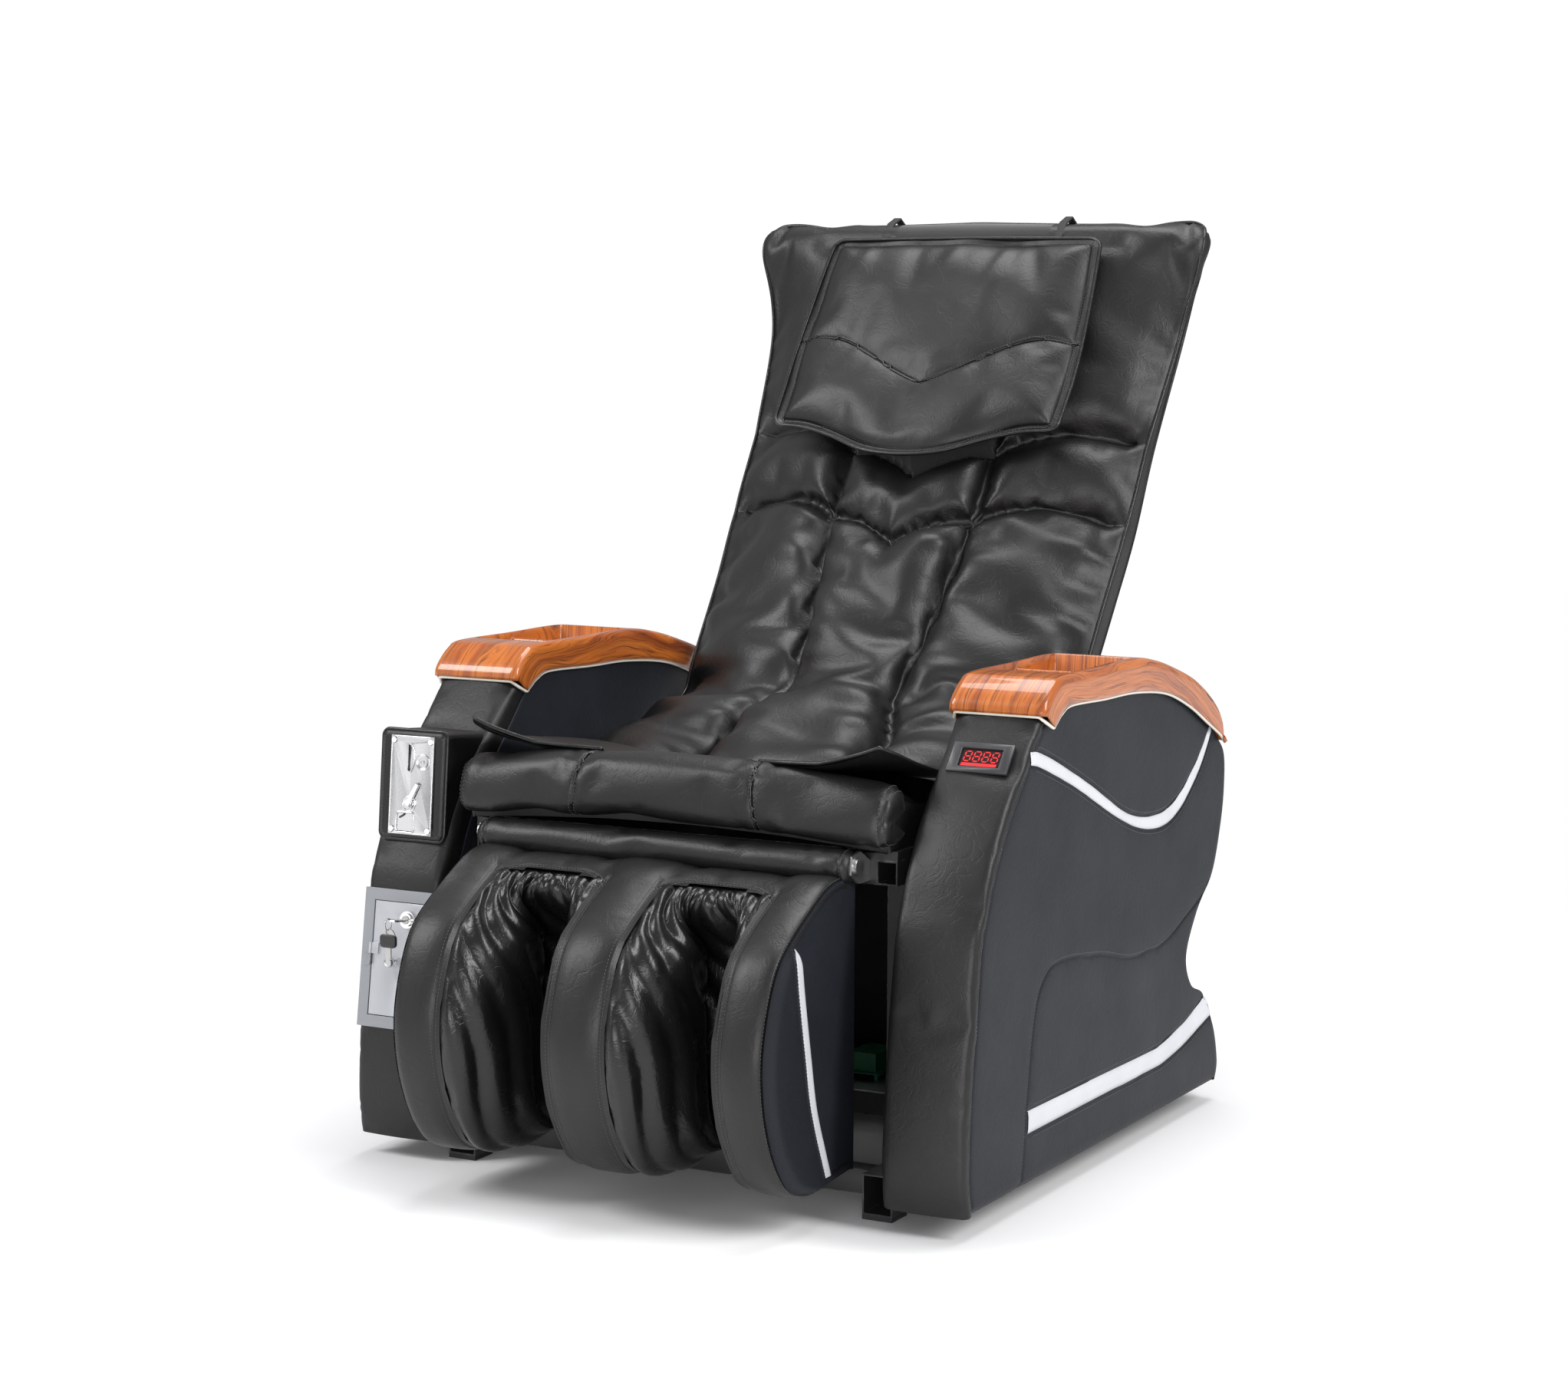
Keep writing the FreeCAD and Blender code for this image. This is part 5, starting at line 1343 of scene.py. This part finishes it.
def panel_lines(past_stripe, past_seam):
    """Lines just outside both edges of each stripe, and beside the panel's seam."""
    lines = []
    for high, low in STRIPES.values():
        lines += [edge_shift(high, past_stripe), edge_shift(low, -past_stripe)]
    return lines + [edge_shift(PANEL_SEAM, past_seam)]


def arm_side(word, side, outer):
    patch = side_patch(outer)
    face = side if outer else -side
    level = ARM_OUT if outer else ARM_IN

    def place(points):
        s, r = face * points[:, 0] / SIDE_WIDE, points[:, 1] / SIDE_HIGH
        flat = patch(clamp(s), clamp(r))
        edge = np.minimum((1 - s) * SIDE_WIDE, r * SIDE_HIGH)
        drop = 7 - np.sqrt(np.maximum(49 - np.clip(7 - edge, 0, 7) ** 2, 0))
        return columns(side * level - face * drop, flat[:, 0], flat[:, 1])
    us, vs = mirrored(face, SIDE_WIDE, 100), np.linspace(0, SIDE_HIGH, 84)
    seams = [np.array([(0, 0), (0, SIDE_HIGH)], float)]
    word_side = "outer" if outer else "inner"
    if outer:
        fine_u, fine_v = np.linspace(us[0], us[-1], 231), np.linspace(0, SIDE_HIGH, 194)
        for line in panel_lines(1.5, 0):
            spots = find(place, fine_u, fine_v, beside(side * level, spread(line, 30)))
            seams.append(curve(spots, 80))
    skin = cover(f"{word}_arm_{word_side}_cover", SIDE_LEATHER, us, vs, place, seams, 1.3, soft=9, crease=1.1)
    if outer:
        for key, (high, low) in STRIPES.items():
            ribbon(f"{word}_arm_{key}_stripe", skin, side, level, low, high, "chair")
        rows = [onto(skin, beside(side * level, line[2:-2]), 0.1) for line in panel_lines(6, 3)]
        thread = stitches(f"{word}_arm_panel_stitches", rows, THREAD, pitch=4.6)
        settle(thread, "chair", "side_leather")
    settle(skin, "chair", "side_leather", f"{word}_arm_{word_side}_panel")


def arm_front(word, side):
    section, run = wrap_section(FRONT_DEEP, SEAM_BACK, 14, 9)
    place, long = strip_place(FRONT, section, run, side)
    us = np.sort(side * np.linspace(0, run[-1], 34))
    vs = np.linspace(0, long, 100)
    cut_outs = ([("cash_door", -1, 4), ("coin_box_housing", 12, 12)] if side < 0
        else [("display_window", 2, 0)])

    def keep(middles):
        x, _, z = place(middles).T
        kept = np.ones(len(x), bool)
        for node, in_x, in_z in cut_outs:
            low, high = np.array(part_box(node)) / MM
            kept &= ~((x > low[0] + in_x) & (x < high[0] - in_x) & (z > low[2] + in_z) & (z < high[2] - in_z))
        return kept
    seams = [np.array([(side * run[-1], 0), (side * run[-1], long)], float),
        np.array([(0, 0), (0, long)], float)]
    skin = cover(f"{word}_arm_front_cover", LEATHER, us, vs, place, seams, 1.4, keep=keep, soft=6,
        crease=1.0, puff=lambda p: 2.2 * np.sin(math.pi * clamp((side * p[:, 0] - 34) / 96)) - 0.6,
        sim=dict(pressure=0.6, growth=0.006, cap=1.6, bending=8.0))
    edge = spread([(side * (run[-1] - 3), 6), (side * (run[-1] - 3), long - 4)], 200)
    thread = stitches(f"{word}_arm_front_stitches", [sample_line(skin, place, edge, 0.1)], THREAD, pitch=4.6)
    settle(skin, "chair", "black_leather", f"{word}_arm_front_panel")
    settle(thread, "chair", "black_leather")


def arm_rear(word, side):
    section, run = wrap_section(0, 0, 7, 7)
    place, long = strip_place(REAR, section, run, side, flip=-1)
    us = np.sort(-side * np.linspace(0, run[-1], 24))
    vs = np.linspace(0, long, 90)
    seams = [np.array([(-side * u, 0), (-side * u, long)], float) for u in (4, run[-1] - 4)]
    skin = cover(f"{word}_arm_rear_cover", LEATHER, us, vs, place, seams, 0.8, soft=5, crease=0.8, passes=1)
    settle(skin, "chair", "black_leather", *(["arm_rear_panels"] if side > 0 else []))


# ---------------------------------------------------------------- arm caps
CAP_IN, CAP_OUT = 311, 442.5
CAP_HIGH = curve([(-236, 602), (-234, 612), (-224, 624), (-204, 638), (-178, 645), (-60, 645), (60, 645),
    (130, 636), (200, 619), (267, 598), (330, 567), (366, 537), (378, 504)], 300)
CAP_LOW = curve([(-206, 586), (-197, 592), (-181, 601), (-150, 608), (-49, 605), (52, 603), (157, 591),
    (241, 566), (313, 535), (360, 514), (377, 503)], 300)
TRAY_FRONT, TRAY_BACK, TRAY_DEEP, TRAY_DIVIDER = -150, 62, 27, -62
CAP_RADIUS, CAP_RIM, CAP_THICK = 9, 13, 2.4


def cap_section():
    """Across the cap: X from the inner side, share of the way down the side, and how far round the corner."""
    quarter = np.linspace(0, 1, 6)
    wide = CAP_OUT - CAP_IN
    rows = [(0, share, 0) for share in (1, 0.8, 0.6, 0.4, 0.2)]
    rows += [(CAP_RADIUS * (1 - math.cos(t * math.pi / 2)), 0, 1 - t) for t in quarter]
    near_rim = [CAP_RIM + step for step in (-2.5, -1, 0, 0.8, 1.6, 4)]
    rows += [(x, 0, 0) for x in near_rim]
    rows += [(x, 0, 0) for x in np.linspace(CAP_RIM + 10, wide - CAP_RIM - 10, 9)]
    rows += [(wide - x, 0, 0) for x in near_rim[::-1]]
    rows += [(wide - CAP_RADIUS * (1 - math.cos((1 - t) * math.pi / 2)), 0, t) for t in quarter]
    rows += [(wide, share, 0) for share in (0.2, 0.4, 0.6, 0.8, 1)]
    return np.array(rows)


def arm_cap(word, side):
    """A shell of printed grain over the arm, with a tray in its top and pointed front corners."""
    section = cap_section()
    tray_edges = [edge + step for edge in (TRAY_FRONT, TRAY_BACK, TRAY_DIVIDER - 3, TRAY_DIVIDER + 3)
        for step in (-2, 0, 2)]
    at_edges = [np.argmin(np.abs(CAP_HIGH[:, 0] - y) + 1e3 * (CAP_HIGH[:, 1] < 600)) for y in tray_edges]
    along = np.unique(np.concatenate([np.linspace(0, 299, 150).round(), at_edges])).astype(int)
    inward = headings(CAP_HIGH)[along][:, ::-1] * [1, -1]
    run = np.linspace(0, run_length(CAP_HIGH), 300)[along]
    wide = CAP_OUT - CAP_IN
    points, uv = [], []
    for (y, z), bottom, sink, s in zip(CAP_HIGH[along], CAP_LOW[along], inward, run):
        in_y = smoothstep((y - TRAY_FRONT + 1) / 2.4) * smoothstep((TRAY_BACK + 1 - y) / 2.4)
        ridge = 1 - 0.72 * smoothstep((4.2 - abs(y - TRAY_DIVIDER)) / 2)
        for x, down, corner in section:
            in_x = smoothstep((x - CAP_RIM + 0.6) / 1.6) * smoothstep((wide - CAP_RIM + 0.6 - x) / 1.6)
            drop = TRAY_DEEP * in_x * in_y * ridge * (z > 630)
            top = np.array([y, z]) + sink * CAP_RADIUS * (1 - math.cos(corner * math.pi / 2))
            side_top = np.array([y, z]) + sink * CAP_RADIUS
            place = top if down == 0 else side_top + (bottom - side_top) * down
            points.append((side * (CAP_IN + x), place[0], place[1] - drop))
            cross = x + (0 if down == 0 else (1 if x else -1) * down * np.linalg.norm(bottom - side_top))
            uv.append((cross + 300 * side, s))
    faces = grid_faces(len(along), len(section))
    if side < 0:
        faces = [f[::-1] for f in faces]
    skin = make(f"{word}_arm_cap_shell", points, faces, WOOD, uv=uv)
    thick = skin.modifiers.new("thickness", "SOLIDIFY")
    thick.thickness, thick.offset = 2.2 * MM, -1
    apply_modifiers(skin)
    skin.data.shade_smooth()
    settle(skin, "chair", "wood_grain", f"{word}_arm_cap")
    # ivory liner that shows below the grain
    lower = CAP_LOW[::-2] - [0, 1]
    corner = np.array([(CAP_THICK, -206, 584.5), (4, -222, 592), (10, -233, 600.5)])
    half = [np.vstack([beside(CAP_OUT - CAP_THICK, lower), [CAP_OUT, 0, 0] + corner * [-1, 1, 1]]),
        np.vstack([[CAP_IN, 0, 0] + corner[::-1], beside(CAP_IN + CAP_THICK, lower[::-1])])]
    path = spread(np.vstack(half) * [side, 1, 1], 460)
    liner = tube(f"{word}_arm_cap_liner", path, 2.1, IVORY, sides=6)
    settle(liner, "chair", "wood_grain")


# ---------------------------------------------------------------- leaning units
def unit(centre, lean):
    """Places points of a leaning unit's own frame: X right, Y into the arm, Z up its face."""
    turn = math.radians(lean)
    centre = np.asarray(centre, float)

    def place(points):
        points = np.atleast_2d(np.asarray(points, float))
        y = points[:, 1] * math.cos(turn) + points[:, 2] * math.sin(turn)
        z = -points[:, 1] * math.sin(turn) + points[:, 2] * math.cos(turn)
        return columns(points[:, 0], y, z) + centre
    return place


on_coin_box = unit((-376, -381, 478), 5)
on_display = unit((376, -275.1, 550.8), 40)


def at_depth(outline, depth):
    """A unit's points from an x, z outline."""
    return columns(outline[:, 0], depth, outline[:, 1])


def rounded_rectangle(wide, high, radius, count=10):
    """A closed outline about the origin, anticlockwise."""
    corners = [(1, 1), (-1, 1), (-1, -1), (1, -1)]
    path = []
    for number, (a, b) in enumerate(corners):
        for t in np.linspace(0, math.pi / 2, count):
            angle = t + number * math.pi / 2
            path.append((a * (wide / 2 - radius) + radius * math.cos(angle),
                b * (high / 2 - radius) + radius * math.sin(angle)))
    return np.array(path)


def stack(name, place, rings, material):
    """A shell through closed rings of equal counts, each an x, z outline at a depth. The last is filled."""
    count = len(rings[0][0])
    points = np.vstack([place(at_depth(ring, depth)) for ring, depth in rings])
    faces = []
    for j in range(len(rings) - 1):
        for k in range(count):
            a, b = j * count, (j + 1) * count
            faces.append([a + k, b + k, b + (k + 1) % count, a + (k + 1) % count])
    faces.append([(len(rings) - 1) * count + k for k in range(count)][::-1])
    return make(name, points, faces, material)


def inset_rings(wide, high, radius, steps):
    """Rings that follow a rounded rectangle: each step is an inset and a depth."""
    return [(rounded_rectangle(wide - 2 * inset, high - 2 * inset, max(0.4, radius - inset)), depth)
        for inset, depth in steps]


def trim(name, path, radius, slot, body="chair", **how):
    """A cord, bar or ridge in the finish of its slot."""
    return settle(tube(name, path, radius, FINISHES[slot], **how), body, slot)


def coin_box():
    """Leather-covered box with piped edges, and the details of its metal plate."""
    wide, high = 98, 140
    rings = inset_rings(wide, high, 9, [(0, 100), (0, 8), (0.6, 3.4), (2.2, 1.2), (5, 0.0), (8, -0.4),
        (12, -0.6), (16.5, 0.2), (17.5, 1.5)])
    box = stack("coin_box_cover", on_coin_box, rings, LEATHER)
    settle(box, "chair", "black_leather", "coin_box_housing")
    outline = rounded_rectangle(wide + 0.8, high + 0.8, 9.4, 14)
    path = spread_closed(on_coin_box(at_depth(outline, 4.5)), 220)
    settle(tube("coin_box_piping", path, 2.4, PIPING, closed=True), "chair", "black_leather")
    rows = []
    for inset, depth, facing in ((5.2, -0.1, True), (0, 12, False)):
        ring = spread(rounded_rectangle(wide - 2 * inset, high - 2 * inset, 9 - inset / 2, 12), 240)
        near_side = np.where(np.abs(ring) / [wide, high] > 0.47, np.sign(ring), 0)
        outward = np.tile([0.0, -1.0, 0.0], (len(ring), 1)) if facing else at_depth(near_side, 0)
        outward[~outward.any(axis=1)] = (0, 0, 1)
        rows.append((on_coin_box(at_depth(ring, depth)), outward))
    settle(stitches("coin_box_stitches", rows, THREAD, pitch=4.4), "chair", "black_leather")


def disc(at, radius, steps, count=36):
    """Rings of a turned piece: each step is a radius's share and a depth."""
    turns = np.linspace(0, 2 * math.pi, count, endpoint=False)
    circle = columns(np.cos(turns), np.sin(turns))
    return [(circle * radius * share + at, depth) for share, depth in steps]


def coin_details():
    # raised rim of the plate
    outline = rounded_rectangle(63.5, 124.5, 6.5, 10)
    path = spread_closed(on_coin_box(at_depth(outline, -2.0)), 160)
    trim("coin_plate_rim", path, 0.9, "bright_steel", closed=True)
    # bezel round the coin slot, bent like a bracket
    turns = np.linspace(-0.62, 0.62, 20)
    arc = columns(-27.4 + 31 * np.cos(turns), -2.4, 35 + 31 * np.sin(turns))
    trim("coin_slot_lip", on_coin_box(arc), 1.5, "bright_steel")
    # the slot and the notch over the return cup are dark, and the thin dark rings round the screws are
    # painted shadow
    for name, line, radius in (("coin_slot_mouth", [(-2.8, 51), (-3.8, 36), (-5.4, 19)], 1.5),
            ("coin_return_notch", [(-8.5, -23), (-8.0, -30), (-8.6, -37), (-16, -42)], 1.7)):
        trim(name, on_coin_box(at_depth(curve(line, 24), -1.9)), radius, "black_plastic", squash=0.5)
    # painted shadow: a thin black ring round each screw, standing for its washer's shadow
    for number, at in enumerate([(-28, -57), (28, -57), (-28, 57), (28, 57)]):
        ring = at_depth(*disc(at, 3.7, [(1.0, -2.0)], 24)[0])
        trim(f"coin_screw_painted_shadow_{number}", on_coin_box(ring), 0.4, "black_plastic", closed=True)
    # a plain embossed ring and the lever's round plate
    for name, at, radius, finish in (("coin_picture", (17, 30), 11, "bright_steel"),
            ("coin_lever_plate", (-2, -24), 10.5, "chrome")):
        steps = [(1.0, -2.0), (1.0, -2.9), (0.94, -3.4), (0.82, -3.4), (0.78, -2.7), (0.3, -2.7),
            (0.22, -3.1), (0.05, -3.2)]
        settle(stack(name, on_coin_box, disc(at, radius, steps), FINISHES[finish]), "chair", "bright_steel")
    # return cup's dark throat and its rim
    throat = [(rounded_rectangle(25 - i, 24 - i, 3) + [-7.5, -48], d)
        for i, d in ((0, -2.1), (1.5, 6), (3, 12))]
    settle(stack("coin_return_throat", on_coin_box, throat, FINISHES["black_plastic"]), "chair",
        "black_plastic")
    path = spread_closed(on_coin_box(at_depth(rounded_rectangle(27, 26, 4) + [-7.5, -48], -2.2)), 70)
    trim("coin_return_rim", path, 1.3, "bright_steel", closed=True)


SEGMENTS = {"a": ((0.12, 1.0), (0.88, 1.0)), "b": ((1.0, 0.93), (1.0, 0.57)),
    "c": ((1.0, 0.43), (1.0, 0.07)), "d": ((0.12, 0.0), (0.88, 0.0)), "e": ((0.0, 0.07), (0.0, 0.43)),
    "f": ((0.0, 0.57), (0.0, 0.93)), "g": ((0.12, 0.5), (0.88, 0.5))}


def walls(start, count):
    """The faces between a ring of points and the next one."""
    return [[start + k, start + (k + 1) % count, start + count + (k + 1) % count, start + count + k]
        for k in range(count)]


def display_digits():
    """Four seven-segment figures and a bar, lit behind the window."""
    wide, high, pitch, thick, low, front = 8.0, 13.6, 12.0, 0.85, -4.2, -1.25
    points, faces = [], []
    for number in range(4):
        left = (number - 1.5) * pitch - wide / 2
        for (x1, z1), (x2, z2) in SEGMENTS.values():
            a = np.array([left + x1 * wide, low + z1 * high])
            b = np.array([left + x2 * wide, low + z2 * high])
            along = (b - a) / np.linalg.norm(b - a)
            across = np.array([-along[1], along[0]]) * thick
            ring = [a - along * 0.4, a + along + across, b - along + across, b + along * 0.4,
                b - along - across, a + along - across]
            start = len(points)
            for depth in (front, front + 0.4):
                points += [(x + 0.1 * z, depth, z) for x, z in ring]
            faces.append([start + k for k in range(6)])
            faces += walls(start, 6)
    start = len(points)
    for depth in (front, front + 0.4):
        points += [(-24, depth, -11), (22.5, depth, -11), (23, depth, -6.8), (-23.5, depth, -6.8)]
    faces.append([start, start + 1, start + 2, start + 3])
    faces += walls(start, 4)
    obj = make("display_figures", on_display(points), faces, DIGITS)
    obj.data.shade_flat()
    settle(obj, "chair", "red_window")


# ---------------------------------------------------------------- keys and the rear
KEY_BLADE, KEY_HEAD = 26, 17


def key_head():
    """Black moulded head over the spare key's bow, below its ring."""
    low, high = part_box("spare_key")
    middle = (low + high) / 2 / MM
    hang = unit((middle.x, middle.y, low.z / MM + KEY_BLADE + KEY_HEAD / 2 - 1), 0)
    rings = inset_rings(24, KEY_HEAD, 5, [(4.4, 3.0), (1.2, 3.0), (0, 1.8), (0, -1.8), (1.2, -3.0),
        (4.4, -3.0)])
    settle(stack("spare_key_head", hang, rings, FINISHES["black_plastic"]), "spare_key", "black_plastic")


def rear_details(shell, cover_plate):
    """Moulded rim, louvres and screws on the back shell, and louvres on the rear cover."""
    def on_shell(outline, away):
        behind = np.array([(x, *along_back(height, -260)) for x, height in outline])
        return onto(shell, behind, away)[0]
    rim = spread_closed(rounded_rectangle(430, 600, 46, 14) + [0, 420], 320)
    trim("back_shell_rim", on_shell(rim, 0.4), 3.2, "black_plastic", "backrest", closed=True)
    for number in range(9):
        level = columns(np.linspace(-110, 110, 40), 250 + 15 * number)
        trim(f"back_shell_louvre_{number}", on_shell(level, 0.8), 3.0, "black_plastic", "backrest")
    screws = [(x, height) for height in (170, 420, 670) for x in (-180, 180)]
    for number, (x, height) in enumerate(screws):
        spot, normal = onto(shell, [(x, *along_back(height, -260))], 0)
        up_face = np.array([0, math.sin(SLOPE), math.cos(SLOPE)])

        def on_face(points, seat=spot[0], out=normal[0], up=up_face):
            across, depth, high_up = np.atleast_2d(np.asarray(points, float)).T
            return seat + across[:, None] * [1, 0, 0] + depth[:, None] * out + high_up[:, None] * up
        steps = [(1.0, -1.0), (1.0, 1.6), (0.82, 2.6), (0.45, 2.8), (0.4, 1.6), (0.1, 1.6)]
        settle(stack(f"back_shell_screw_{number}", on_face, disc((0, 0), 5.5, steps),
            FINISHES["zinc_steel"]), "backrest", "zinc_steel")
    low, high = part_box("rear_cover")
    for number in range(8):
        level = columns(np.linspace(-120, 120, 30), high.y / MM + 40, high.z / MM - 60 - 15 * number)
        trim(f"rear_cover_louvre_{number}", onto(cover_plate, level, 0.6)[0], 3.0, "black_plastic")


# ---------------------------------------------------------------- build everything
back_and_seat()
headrest()
seat_front()
for word, side in (("right", -1), ("left", 1)):
    seat_flap(word, side)
calf_cover()
calf_linings()
calf_sides()
lower_roll()
for word, side in SIDES.items():
    arm_side(word, side, True)
    arm_side(word, side, False)
    arm_front(word, side)
    arm_rear(word, side)
    arm_cap(word, side)
coin_box()
coin_details()
display_digits()
shells = {}
for node, width, body in (("back_shell", 9, "backrest"), ("cash_door_frame", 1.2, "chair"),
        ("rear_cover", 0.8, "chair"), ("cash_door", 0.8, "cash_door"), ("display_bezel", 1.2, "chair"),
        ("coin_faceplate", 0.5, "chair"), ("base_frame_tubes", 2, "chair"),
        ("calf_frame", 1.5, "calf_rest"), ("headrest_straps", 1.2, "backrest"),
        ("coin_return_lever", 0.9, "return_lever")):
    slot_name = next(p["material_slot"] for p in frame["record"]["subparts"] if p["node"] == node)
    shells[node] = soften(node, f"{node}_shell", width, body, slot_name, FINISHES[slot_name])
key_head()
rear_details(shells["back_shell"], shells["rear_cover"])
